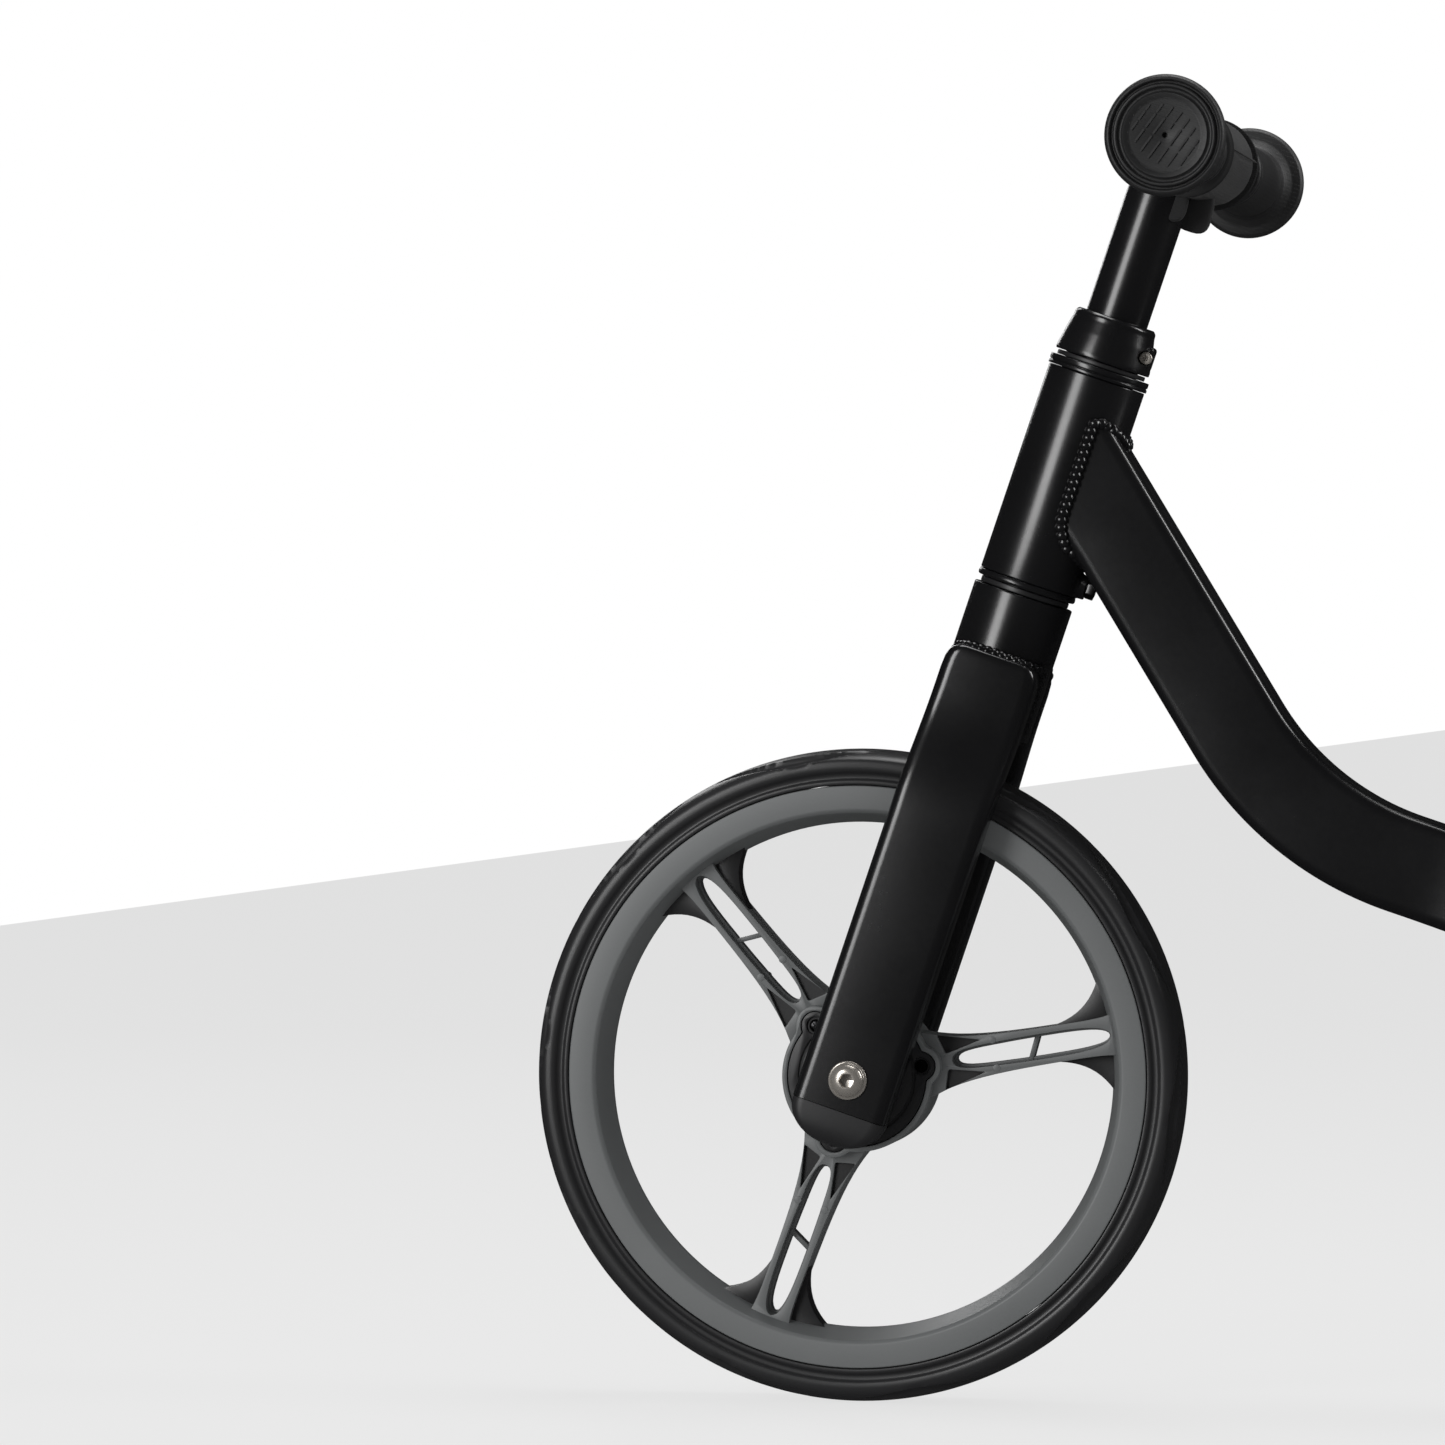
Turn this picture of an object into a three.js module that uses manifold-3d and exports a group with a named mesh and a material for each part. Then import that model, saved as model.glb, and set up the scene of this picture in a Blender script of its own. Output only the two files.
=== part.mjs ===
// A child's balance bike: two 12-inch foam-tyred wheels, a fork and a frame of flat rounded tube,
// a handlebar and a saddle that both slide in clamped tubes. Millimetres, +Z up.
// The bike faces -X and the rider's left is -Y. The origin is on the ground, midway along the bike.
import * as THREE from "three";
import { mergeVertices } from "three/addons/utils/BufferGeometryUtils.js";
import Module from "manifold-3d";

const wasm = await Module();
wasm.setup();

// ---------------------------------------------------------------- driving dimensions

const { degToRad } = THREE.MathUtils;
const fit = 0.3; // gap left between two pieces that touch

// The whole bike
const wheelbase = 545;
const headAngle = degToRad(18.3); // steering axis, from vertical, through the front axle
const seatAngle = degToRad(20); // seat tube, from vertical

// Tyre, a closed foam ring that grips the rim's channel
const tyreRadius = 147.5;
const tyreHalfWidth = 21.6;
const tyreWidestRadius = tyreRadius - 9.5;
const tyreSegments = 36;

// Rim, spokes and hub, moulded in one piece
const rimRadius = tyreRadius - 16.3;
const rimHalfWidth = 21;
const rimLipHeight = 5;
const rimLipThickness = 7.5;
const rimFaceWidth = 12;
const rimWaistRadius = rimRadius - 17;
const rimWaistHalfWidth = 2;
const spokeCount = 3;
const firstSpokeAngle = degToRad(10);
const spokeHalfDepth = 11;
const spokeHubHalfWidth = 16.5;
const spokeRimHalfWidth = 8.2;
const windowStart = 43; // the slim opening along each spoke, by its distance from the axle
const windowEnd = rimWaistRadius - 4.2;
const windowHalfWidth = 5.4;
const windowLedge = 1.4;
const ledgeHalfDepth = 3;
const braceRadius = 80; // the thin slanted bar that ties the two sides of a spoke
const braceThickness = 2.2;
const braceSlant = degToRad(25);
const gussetHalfDepth = 1.2;
const gussetReach = 24;
const gussetStart = rimWaistRadius - 26.2;
const gussetFlare = 5; // how far the web's curve stands off the spoke before it spreads
const spokeWaistRadius = 60; // where a spoke has narrowed from the hub
const pocketDepth = 7;
const pocketLength = 13;
const pocketTip = 8; // the pocket's corners, by their distance from the spoke's middle
const pocketInner = 4;
const pocketOuter = 12;
const hubRadius = 34;
const hubHalfLength = 18;
const lobeRadius = 9;
const lobeDistance = 29.5;
const hubWall = 2.3;
const coverSeat = 13; // where the cover's inner face rests, from the wheel's middle
const coverThickness = 4;
const hubSleeveRadius = 14;
const hubFloor = 4; // half thickness of the disc that joins the sleeve to the hub's wall
const coverBandWidth = 4;
const coverBandHeight = 1.6;
const screwRadius = 1.5;
const screwHeadRadius = 3;
const screwHeadHeight = 1.8;

// Axle line
const axleRadius = 6;
const axleBore = 4.3;
const bearingRadius = 11;
const bearingWidth = 7;
const spacerRadius = 9;
const spacerFlangeRadius = 12.5;
const spacerFlange = 1.5;
const boltRadius = 4;
const boltLength = 34;
const boltHeadRadius = 8.7;
const boltHeadHeight = 4.6;
const boltSocketRadius = 3.2;
const boltSocketDepth = 2.8;

// Flat rounded tube of the fork legs and the frame beams
const tubeHeight = 44;
const tubeWidth = 20;
const tubeCorner = 6;
const tubeWall = 2;
const tubeInnerFace = 25.5; // from the bike's middle plane, beside a wheel
const capReach = 16.5; // how far a plastic end cap stands out of the tube
const capBevel = 2;
const capPlug = 8;

// Steering tubes, each sized to turn or slide in the one round it
const headRadius = 22.5;
const headBore = headRadius - 2;
const steererRadius = headBore - 3.5;
const steererBore = steererRadius - 2.4;
const crownRadius = headRadius + 0.5;
const stemRadius = steererBore - fit;
const stemWall = 2;

// Fork, by the distance up the steering axis from the front axle
const legBottom = -14.3;
const legTop = tyreRadius + 53;
const legBendStart = tyreRadius - 23.5;
const legBendEnd = tyreRadius + 32.5;
const legTopInnerFace = 13.5;
const crownBottom = tyreRadius + 18.5;
const crownTop = crownBottom + 63;

// Head tube and headset
const headBottom = crownTop + 6.5;
const headTop = headBottom + 96.5;
const steererTop = headTop + 22;
const cupFlange = 3;
const upperCupFlange = 4.5;
const cupDepth = 12;
const ringThickness = 2;
const ringRadius = headRadius - 1.9;
const steerLimit = degToRad(50);
const stopHeight = headBottom + 5.5;
const stopRadius = 3;
const stopHeadRadius = 4.6;
const stopHeadHeight = 4;
const stopBossRadius = 5.5;
const stopBossEnd = headRadius + 3.5;

// Stem clamp collar
const collarBottomRadius = headRadius - 0.5;
const collarTopRadius = stemRadius + 3.3;
const collarHeight = 20.6;
const clampBoltRadius = 2;
const clampHeadRadius = 3.4;
const clampHeadHeight = 2.5;
const clampSlot = 2;
const lugDepth = 6.5;
const lugHalfWidth = 7;
const lugHeight = 11;

// Handlebar
const stemInsert = 84; // length of stem held in the steerer
const barHeight = steererTop + 86.4;
const barRadius = 11.1;
const barWall = 2;
const barSetback = 5; // of the middle of the bar, behind the steering axis
const gripSetback = 16.7;
const barHalfLength = 185;
const barBendStart = 32;
const barBendEnd = 74;
const gripInnerEnd = 80;
const gripOuterEnd = 192;
const gripRadius = barRadius + 4.9;
const gripFlangeRadius = 26;
const gripFlangeThickness = 8;
const padHalfLength = 62;
const padRadius = barRadius + 9.4;
const padSetback = 9.5;

// Frame beams, whose middle line falls steeply, bends and runs straight to the rear axle
const beamStartHeight = headBottom + 38.5; // above the front axle
const beamStartX = beamStartHeight * Math.tan(headAngle) + 7.783; // behind the steering axis
const beamFall = degToRad(58.5);
const beamSteepLength = 135.7; // before the bend
const beamBendRadius = 140;
const beamGap = 0.6; // between the two beams where they lie side by side
const splayStart = 255;
const splayEnd = 385;
const beamEndReach = 14.3; // of tube behind the rear axle

// Seat tube, post and saddle
const seatTubeX = 335;
const seatPostRadius = 13.6;
const seatTubeBore = seatPostRadius + fit;
const seatTubeRadius = seatTubeBore + 4.1;
const seatTubeBelow = 24; // seat tube below the beams' middle line
const seatTubeAbove = 62;
const seatCollarRadius = seatTubeRadius + 4.5;
const seatCollarHeight = 15;
const seatPostInsert = 72;
const seatPostExposed = 58;
const saddleSocketRadius = seatPostRadius + 5.4;
const saddleSocketDepth = 26;
const postToSaddle = 7; // solid plastic over the post's top
const saddleLength = 212;
const saddleRearWidth = 132;
const saddleNoseWidth = 52;
const saddleThickness = 34;
const saddleBaseThickness = 7;
const saddleRise = degToRad(4); // of the saddle's tail
const saddleForward = 96; // tail end behind the post
const saddleBaseInset = 9;

// ---------------------------------------------------------------- finishes

const finish = (color, roughness, metalness) => ({ color, roughness, metalness });
const blackPaint = finish(0x101012, 0.32, 0.1);
const blackPlastic = finish(0x1b1b1c, 0.62, 0);
const greyPlastic = finish(0x66696b, 0.5, 0);
const foam = finish(0x1d1d1e, 0.85, 0);
const rubber = finish(0x232324, 0.8, 0);
const fabric = finish(0x262627, 0.95, 0);
const steel = finish(0xb9bbbd, 0.28, 1);

// ---------------------------------------------------------------- solids

// A closed three.js geometry as a manifold-3d solid, turned right side out.
function solid(geometry) {
  const bare = geometry.clone();
  bare.deleteAttribute("normal");
  bare.deleteAttribute("uv");
  const merged = mergeVertices(bare, 1e-4);
  const triVerts = new Uint32Array(merged.index.array);
  const build = () =>
    new wasm.Manifold(
      new wasm.Mesh({
        numProp: 3,
        vertProperties: new Float32Array(merged.attributes.position.array),
        triVerts,
      }),
    );
  const made = build();
  if (made.volume() > 0) return made;
  for (let i = 0; i < triVerts.length; i += 3) {
    [triVerts[i + 1], triVerts[i + 2]] = [triVerts[i + 2], triVerts[i + 1]];
  }
  return build();
}

// A manifold-3d solid as three.js geometry with flat faces.
function geometryOf(made) {
  const data = made.getMesh();
  const geometry = new THREE.BufferGeometry();
  geometry.setAttribute("position", new THREE.BufferAttribute(data.vertProperties, 3));
  geometry.setIndex(new THREE.BufferAttribute(data.triVerts, 1));
  const flat = geometry.toNonIndexed();
  flat.computeVertexNormals();
  return flat;
}

// A solid turned about Y from [radius, y] corners. The profile closes on itself.
function turned(corners, segments = 16) {
  const loop = [...corners, corners[0]].map(([r, y]) => new THREE.Vector2(r, y));
  return solid(new THREE.LatheGeometry(loop, segments));
}

// The same about Z, from [radius, z] corners.
function turnedUp(corners, segments = 20) {
  const loop = [...corners, corners[0]].map(([r, z]) => new THREE.Vector2(r, z));
  return solid(new THREE.LatheGeometry(loop, segments).rotateX(Math.PI / 2));
}

const ring = (inner, outer, low, high) => [
  [inner, low],
  [outer, low],
  [outer, high],
  [inner, high],
];

// A plain cylinder along Z, from low to high.
function rod(radius, low, high, segments = 20) {
  const body = new THREE.CylinderGeometry(radius, radius, high - low, segments);
  return body.rotateX(Math.PI / 2).translate(0, 0, (low + high) / 2);
}

// A plain cylinder along Y, from low to high.
function pin(radius, low, high, segments = 16) {
  const body = new THREE.CylinderGeometry(radius, radius, high - low, segments);
  return body.translate(0, (low + high) / 2, 0);
}

// A flat outline in the XZ plane, given thickness along Y from low to high.
function plate(outline, low, high, curveSegments = 3) {
  const options = { depth: high - low, bevelEnabled: false, curveSegments };
  return new THREE.ExtrudeGeometry(outline, options).rotateX(Math.PI / 2).translate(0, high, 0);
}

// Turns a solid by an angle about Y, the axle's direction; +Z goes towards +X.
function swung(made, angle) {
  return made.rotate([0, THREE.MathUtils.radToDeg(angle), 0]);
}

// The rounded rectangle of the flat tube, as a path or a shape; X is its width.
function roundedRectangle(width, height, corner, Kind = THREE.Shape) {
  const w = width / 2;
  const h = height / 2;
  const outline = new Kind();
  const bulge = 0.45 * corner; // how near the curve's handles come to the sharp corner
  outline.moveTo(w, h - corner);
  outline.bezierCurveTo(w, h - bulge, w - bulge, h, w - corner, h);
  outline.lineTo(corner - w, h);
  outline.bezierCurveTo(bulge - w, h, -w, h - bulge, -w, h - corner);
  outline.lineTo(-w, corner - h);
  outline.bezierCurveTo(-w, bulge - h, bulge - w, -h, corner - w, -h);
  outline.lineTo(w - corner, -h);
  outline.bezierCurveTo(w - bulge, -h, w, bulge - h, w, corner - h);
  return outline;
}

// Flat tube swept along a curve, hollow and open at both ends.
function flatTube(curve) {
  const section = roundedRectangle(tubeWidth, tubeHeight, tubeCorner);
  const bore = roundedRectangle(
    tubeWidth - 2 * tubeWall,
    tubeHeight - 2 * tubeWall,
    tubeCorner - tubeWall,
    THREE.Path,
  );
  section.holes.push(bore);
  const options = { steps: curve.steps, extrudePath: curve, curveSegments: 2 };
  return solid(new THREE.ExtrudeGeometry(section, options));
}

// Round tube of the handlebar swept along a curve.
function roundTube(curve, radius, bore) {
  const section = new THREE.Shape();
  section.absarc(0, 0, radius, 0, 2 * Math.PI);
  if (bore > 0) {
    const hole = new THREE.Path();
    hole.absarc(0, 0, bore, 0, 2 * Math.PI);
    section.holes.push(hole);
  }
  const options = { steps: curve.steps, extrudePath: curve, curveSegments: 5 };
  return solid(new THREE.ExtrudeGeometry(section, options));
}

// A curve given by a formula of one length, with a section at each of the stations. The
// sections don't twist: their own X stays as near as it can to the side direction.
class StationCurve extends THREE.Curve {
  constructor(stations, side, pointAt) {
    super();
    this.stations = stations;
    this.side = side;
    this.pointAt = pointAt;
    this.steps = stations.length - 1;
  }
  computeFrenetFrames(segments) {
    const places = Array.from({ length: segments + 1 }, (_, i) => i / segments);
    const tangents = places.map((u) => this.getTangentAt(u));
    const normals = tangents.map((along) =>
      this.side.clone().addScaledVector(along, -along.dot(this.side)).normalize(),
    );
    const binormals = tangents.map((along, i) => along.clone().cross(normals[i]));
    return { tangents, normals, binormals };
  }
  getPoint(t, target = new THREE.Vector3()) {
    const place = THREE.MathUtils.clamp(t, 0, 1) * this.steps;
    const i = Math.min(Math.floor(place), this.steps - 1);
    const along = THREE.MathUtils.lerp(this.stations[i], this.stations[i + 1], place - i);
    return target.copy(this.pointAt(along));
  }
  // Sections stand at the stations, not at equal lengths.
  getUtoTmapping(u) {
    return u;
  }
}

// Lengths from one value to another in equal steps, both ends included.
const stepsBetween = (from, to, count) =>
  Array.from({ length: count + 1 }, (_, i) => from + ((to - from) * i) / count);

const sideways = new THREE.Vector3(0, 1, 0);
const upwards = new THREE.Vector3(0, 0, 1);
const smooth = THREE.MathUtils.smoothstep;
const mix = THREE.MathUtils.lerp;
const sides = [
  ["left", -1],
  ["right", 1],
];

// ---------------------------------------------------------------- scene graph

const bike = new THREE.Group();
bike.position.set(-wheelbase / 2, 0, tyreRadius);

const fork = new THREE.Group();
fork.rotation.y = headAngle; // its Z runs up the steering axis
bike.add(fork);

function piece(name, made, look, parent = bike) {
  const geometry = made instanceof THREE.BufferGeometry ? made : geometryOf(made);
  const mesh = new THREE.Mesh(geometry, new THREE.MeshStandardMaterial(look));
  mesh.name = name;
  parent.add(mesh);
  return mesh;
}

// ---------------------------------------------------------------- wheels

// The foam ring: a round crown and shoulders, and a foot that fills the rim's channel.
function tyre() {
  const channel = rimHalfWidth - rimLipThickness - fit;
  const foot = rimRadius - rimLipHeight + fit;
  const seat = rimRadius + fit;
  const crown = [0, 0.35, 0.7, 1].map((t) => {
    const angle = (t * Math.PI) / 2;
    const radius = tyreWidestRadius + (tyreRadius - tyreWidestRadius) * Math.cos(angle);
    return [radius, tyreHalfWidth * Math.sin(angle) ** 0.8];
  });
  const half = [...crown, [seat, tyreHalfWidth - 1], [seat, channel], [foot, channel]];
  const other = half.slice(1).map(([r, y]) => [r, -y]);
  return turned([...half, ...other.reverse()], tyreSegments);
}

function rimRing() {
  const channel = rimHalfWidth - rimLipThickness;
  const half = [
    [rimWaistRadius, rimWaistHalfWidth],
    [rimRadius - rimFaceWidth, rimHalfWidth],
    [rimRadius, rimHalfWidth],
    [rimRadius, channel],
    [rimRadius - rimLipHeight, channel],
  ];
  const other = half.map(([r, y]) => [r, -y]);
  return turned([...half, ...other.reverse()], tyreSegments);
}

// The almond opening along a spoke, narrowed by an inset.
function windowOutline(inset) {
  const start = windowStart + inset;
  const end = windowEnd - inset;
  const half = windowHalfWidth - inset;
  const waist = mix(start, end, 0.62);
  const outline = new THREE.Shape();
  outline.moveTo(start, 0);
  outline.bezierCurveTo(start + 6, 0.9 * half, waist - 16, half, waist, half);
  outline.bezierCurveTo(waist + 14, half, end - 1, 0.75 * half, end, 0);
  outline.bezierCurveTo(end - 1, -0.75 * half, waist + 14, -half, waist, -half);
  outline.bezierCurveTo(waist - 16, -half, start + 6, -0.9 * half, start, 0);
  return outline;
}

function spokeOutline() {
  const root = hubRadius - 6;
  const foot = rimWaistRadius + 3;
  const outline = new THREE.Shape();
  outline.moveTo(root, spokeHubHalfWidth);
  outline.quadraticCurveTo(spokeWaistRadius, spokeRimHalfWidth, foot, spokeRimHalfWidth);
  outline.lineTo(foot, -spokeRimHalfWidth);
  outline.quadraticCurveTo(spokeWaistRadius, -spokeRimHalfWidth, root, -spokeHubHalfWidth);
  return outline;
}

// The thin web that flares from a spoke's sides to the rim.
function gussetOutline() {
  const foot = rimWaistRadius + 3;
  const toe = rimWaistRadius - 2;
  const bend = rimWaistRadius - 7;
  const root = spokeRimHalfWidth - 1;
  const flare = spokeRimHalfWidth + gussetFlare;
  const outline = new THREE.Shape();
  outline.moveTo(gussetStart, root);
  outline.quadraticCurveTo(bend, flare, toe, gussetReach);
  outline.lineTo(foot, gussetReach);
  outline.lineTo(foot, -gussetReach);
  outline.lineTo(toe, -gussetReach);
  outline.quadraticCurveTo(bend, -flare, gussetStart, -root);
  return outline;
}

// The blind three-cornered pocket beside the inner end of a spoke's opening.
function pocketOutline(side) {
  const outline = new THREE.Shape();
  outline.moveTo(windowStart - 2, side * pocketInner);
  outline.lineTo(windowStart - 4.5, side * pocketOuter);
  outline.lineTo(windowStart + pocketLength, side * pocketTip);
  return outline;
}

function spoke() {
  const depth = spokeHalfDepth;
  let made = solid(plate(spokeOutline(), -depth, depth));
  for (const side of [-1, 1]) {
    const outer = side * (depth + 1);
    const ledge = side * ledgeHalfDepth;
    const [low, high] = [Math.min(outer, ledge), Math.max(outer, ledge)];
    made = made.subtract(solid(plate(windowOutline(0), low, high)));
    const floor = side * (depth - pocketDepth);
    const [below, above] = [Math.min(outer, floor), Math.max(outer, floor)];
    for (const flank of [-1, 1]) {
      made = made.subtract(solid(plate(pocketOutline(flank), below, above)));
    }
  }
  made = made.subtract(solid(plate(windowOutline(windowLedge), -depth, depth)));
  const brace = new THREE.BoxGeometry(braceThickness, 1.3 * ledgeHalfDepth, 2.2 * windowHalfWidth);
  brace.rotateY(braceSlant).translate(braceRadius, 0, 0);
  const gusset = solid(plate(gussetOutline(), -gussetHalfDepth, gussetHalfDepth));
  const opening = solid(plate(windowOutline(windowLedge), -depth, depth));
  return made.add(gusset.subtract(opening)).add(solid(brace));
}

// A round plate with a lobe towards each spoke, as the hub and its covers have.
function lobedPlate(radius, lobe, low, high) {
  let made = solid(pin(radius, low, high, 20));
  for (let i = 0; i < spokeCount; i += 1) {
    const boss = solid(pin(lobe, low, high, 8).translate(lobeDistance, 0, 0));
    made = made.add(swung(boss, -firstSpokeAngle - (i * 2 * Math.PI) / spokeCount));
  }
  return made;
}

function screwHoles(made, low, high) {
  let cut = made;
  for (let i = 0; i < spokeCount; i += 1) {
    const hole = solid(pin(screwRadius + fit, low, high, 8).translate(lobeDistance, 0, 0));
    cut = cut.subtract(swung(hole, -firstSpokeAngle - (i * 2 * Math.PI) / spokeCount));
  }
  return cut;
}

function hub() {
  let made = lobedPlate(hubRadius, lobeRadius, -hubHalfLength, hubHalfLength);
  const sleeve = solid(pin(hubSleeveRadius, -hubHalfLength, hubHalfLength));
  for (const side of [-1, 1]) {
    const rim = side * (hubHalfLength + 1);
    const floor = side * coverSeat;
    const low = Math.min(rim, floor);
    const high = Math.max(rim, floor);
    made = made.subtract(lobedPlate(hubRadius - hubWall, lobeRadius - hubWall, low, high));
    const well = ring(hubSleeveRadius, lobeDistance - screwHeadRadius - 2, side * hubFloor, floor);
    made = made.subtract(turned(well));
  }
  made = made.add(sleeve);
  const bore = axleRadius + 2;
  const seat = bearingRadius + fit;
  made = made.subtract(solid(pin(bore, -hubHalfLength - 1, hubHalfLength + 1)));
  for (const side of [-1, 1]) {
    const inner = side * (hubHalfLength - bearingWidth - fit);
    const outer = side * (hubHalfLength + 1);
    made = made.subtract(solid(pin(seat, Math.min(inner, outer), Math.max(inner, outer))));
  }
  return screwHoles(made, -hubHalfLength - 1, hubHalfLength + 1);
}

function wheelMoulding() {
  let made = rimRing();
  for (let i = 0; i < spokeCount; i += 1) {
    made = made.add(swung(spoke(), -firstSpokeAngle - (i * 2 * Math.PI) / spokeCount));
  }
  const wall = hubWall / 2; // the spokes end within the hub's wall
  const room = lobedPlate(hubRadius - wall, lobeRadius - wall, -hubHalfLength, hubHalfLength);
  return made.subtract(room).add(hub());
}

// A hub cover: a lobed disc with a raised band round the axle. The screws pass the left cover
// and end in blind holes of the right one.
function hubCover(side) {
  const back = coverSeat + fit;
  const face = back + coverThickness;
  const plateRadius = hubRadius - hubWall - fit;
  let made = lobedPlate(plateRadius, lobeRadius - hubWall - fit, back, face);
  const bandInner = hubSleeveRadius + 2;
  const band = ring(bandInner, bandInner + coverBandWidth, face - 1, face + coverBandHeight);
  made = made.add(turned(band));
  made = made.subtract(solid(pin(hubSleeveRadius + fit, back - 1, face + 3)));
  made = side < 0 ? screwHoles(made, back - 1, face + 1) : screwHoles(made, back - 1, back + 2);
  if (side > 0) return made;
  // The left cover is the same disc turned over, with its lobes still on the spokes.
  return made.mirror([0, 1, 0]);
}

function screw() {
  const head = -(coverSeat + fit + coverThickness + fit);
  const shank = pin(screwRadius, head - 0.5, coverSeat + 1.5, 8);
  const cap = pin(screwHeadRadius, head - screwHeadHeight, head, 12);
  return solid(shank).add(solid(cap));
}

function bearing(side) {
  const outer = side * hubHalfLength;
  const inner = side * (hubHalfLength - bearingWidth);
  return turned(ring(axleRadius + fit, bearingRadius, inner, outer));
}

// The stepped sleeve between a bearing and the tube beside it.
function spacer(side) {
  const near = hubHalfLength + fit;
  const far = tubeInnerFace - fit;
  return turned([
    [axleRadius + fit, side * near],
    [spacerFlangeRadius, side * near],
    [spacerFlangeRadius, side * (near + spacerFlange)],
    [spacerRadius, side * (near + spacerFlange)],
    [spacerRadius, side * far],
    [axleRadius + fit, side * far],
  ]);
}

// Button-head bolt along Y with a flange under its head and a six-sided socket.
function axleBolt(side) {
  const seat = tubeInnerFace + tubeWidth + fit;
  const shank = solid(pin(boltRadius, seat - boltLength, seat + 1));
  const head = turned([
    [0, seat],
    [boltHeadRadius, seat],
    [boltHeadRadius, seat + 1],
    [boltHeadRadius - 1.3, seat + 1.4],
    [boltHeadRadius - 2.2, seat + 3.2],
    [boltHeadRadius - 4, seat + boltHeadHeight],
    [0, seat + boltHeadHeight],
  ]);
  const top = seat + boltHeadHeight;
  const socket = solid(pin(boltSocketRadius, top - boltSocketDepth, top + 1, 6));
  const made = shank.add(head).subtract(socket);
  return side > 0 ? made : made.mirror([0, 1, 0]);
}

function addWheel(prefix, x) {
  const wheel = new THREE.Group();
  wheel.position.x = x;
  bike.add(wheel);
  piece(prefix + "_tyre", tyre(), foam, wheel);
  piece(prefix + "_rim", wheelMoulding(), greyPlastic, wheel);
  const axleEnd = tubeInnerFace - fit;
  piece(prefix + "_axle", turned(ring(axleBore, axleRadius, -axleEnd, axleEnd)), steel, wheel);
  for (const [name, side] of sides) {
    piece(prefix + "_hub_cover_" + name, hubCover(side), blackPlastic, wheel);
    piece(prefix + "_bearing_" + name, bearing(side), steel, wheel);
    piece(prefix + "_spacer_" + name, spacer(side), blackPlastic, wheel);
    piece(prefix + "_axle_bolt_" + name, axleBolt(side), steel, wheel);
  }
  for (let i = 0; i < spokeCount; i += 1) {
    const holder = new THREE.Group();
    holder.rotation.y = -firstSpokeAngle - (i * 2 * Math.PI) / spokeCount;
    wheel.add(holder);
    const made = piece(prefix + "_cover_screw_" + (i + 1), screw(), steel, holder);
    made.position.x = lobeDistance;
  }
}

addWheel("front", 0);
addWheel("rear", wheelbase);

// ---------------------------------------------------------------- fork

const besideWheel = tubeInnerFace + tubeWidth / 2;

// A fork leg: straight beside the wheel, then stepping in to meet the crown tube.
function forkLeg(side) {
  const besideCrown = legTopInnerFace + tubeWidth / 2;
  const stations = [legBottom, ...stepsBetween(legBendStart, legBendEnd, 7), legTop];
  const curve = new StationCurve(stations, sideways, (z) => {
    const y = mix(besideWheel, besideCrown, smooth(z, legBendStart, legBendEnd));
    return new THREE.Vector3(0, side * y, z);
  });
  const crownRoom = solid(rod(crownRadius + fit, crownBottom - 30, crownTop + 20));
  const hole = solid(pin(boltRadius + fit, -60, 60));
  return flatTube(curve).subtract(crownRoom).subtract(hole);
}

// The moulded cap that closes a flat tube: a half-round end and a plug that fits in the tube.
// It is drawn with the tube's end at z = 0 and the tube going up.
function endCap() {
  const half = tubeHeight / 2;
  const outline = new THREE.Shape();
  outline.moveTo(-half, -fit);
  outline.bezierCurveTo(-half, -0.66 * capReach, -0.62 * half, -capReach, 0, -capReach);
  outline.bezierCurveTo(0.62 * half, -capReach, half, -0.66 * capReach, half, -fit);
  const body = new THREE.ExtrudeGeometry(outline, {
    depth: tubeWidth - 2 * capBevel,
    bevelThickness: capBevel,
    bevelSize: capBevel,
    bevelOffset: -capBevel,
    bevelSegments: 2,
    curveSegments: 8,
  });
  body.rotateX(Math.PI / 2).translate(0, tubeWidth / 2 - capBevel, 0);
  const trim = new THREE.BoxGeometry(2 * tubeHeight, 2 * tubeWidth, tubeHeight);
  trim.translate(0, 0, tubeHeight / 2 - fit);
  const inner = 2 * (tubeWall + fit);
  const section = roundedRectangle(tubeWidth - inner, tubeHeight - inner, tubeCorner - tubeWall);
  const plug = new THREE.ExtrudeGeometry(section, {
    depth: capPlug + 4,
    bevelEnabled: false,
    curveSegments: 3,
  });
  plug.rotateZ(Math.PI / 2).translate(0, 0, -4); // its height lies along X, as the outline's does
  return solid(body).subtract(solid(trim)).add(solid(plug));
}

for (const [name, side] of sides) {
  piece("fork_leg_" + name, forkLeg(side), blackPaint, fork);
  const cap = piece("fork_end_cap_" + name, endCap(), blackPlastic, fork);
  cap.position.set(0, side * besideWheel, legBottom);
}

// Crown tube and steerer in one, slotted near the crown for the steering stop.
function steerer() {
  const body = turnedUp([
    [steererBore, crownBottom],
    [crownRadius, crownBottom],
    [crownRadius, crownTop],
    [steererRadius, crownTop],
    [steererRadius, steererTop],
    [steererBore, steererTop],
  ]);
  const reach = steerLimit + Math.asin((stopRadius + fit) / steererBore);
  const slot = new THREE.Shape();
  slot.absarc(0, 0, steererRadius + 2, -reach, reach);
  slot.absarc(0, 0, steererBore - 2, reach, -reach, true);
  const slotHeight = 2 * (stopRadius + fit);
  const cut = new THREE.ExtrudeGeometry(slot, { depth: slotHeight, bevelEnabled: false });
  cut.translate(0, 0, stopHeight - slotHeight / 2);
  return body.subtract(solid(cut));
}

piece("fork_steerer", steerer(), blackPaint, fork);

// ---------------------------------------------------------------- head tube and headset

const collarBottom = headTop + fit + upperCupFlange + fit + ringThickness + fit;
const collarTop = collarBottom + collarHeight;

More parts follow.
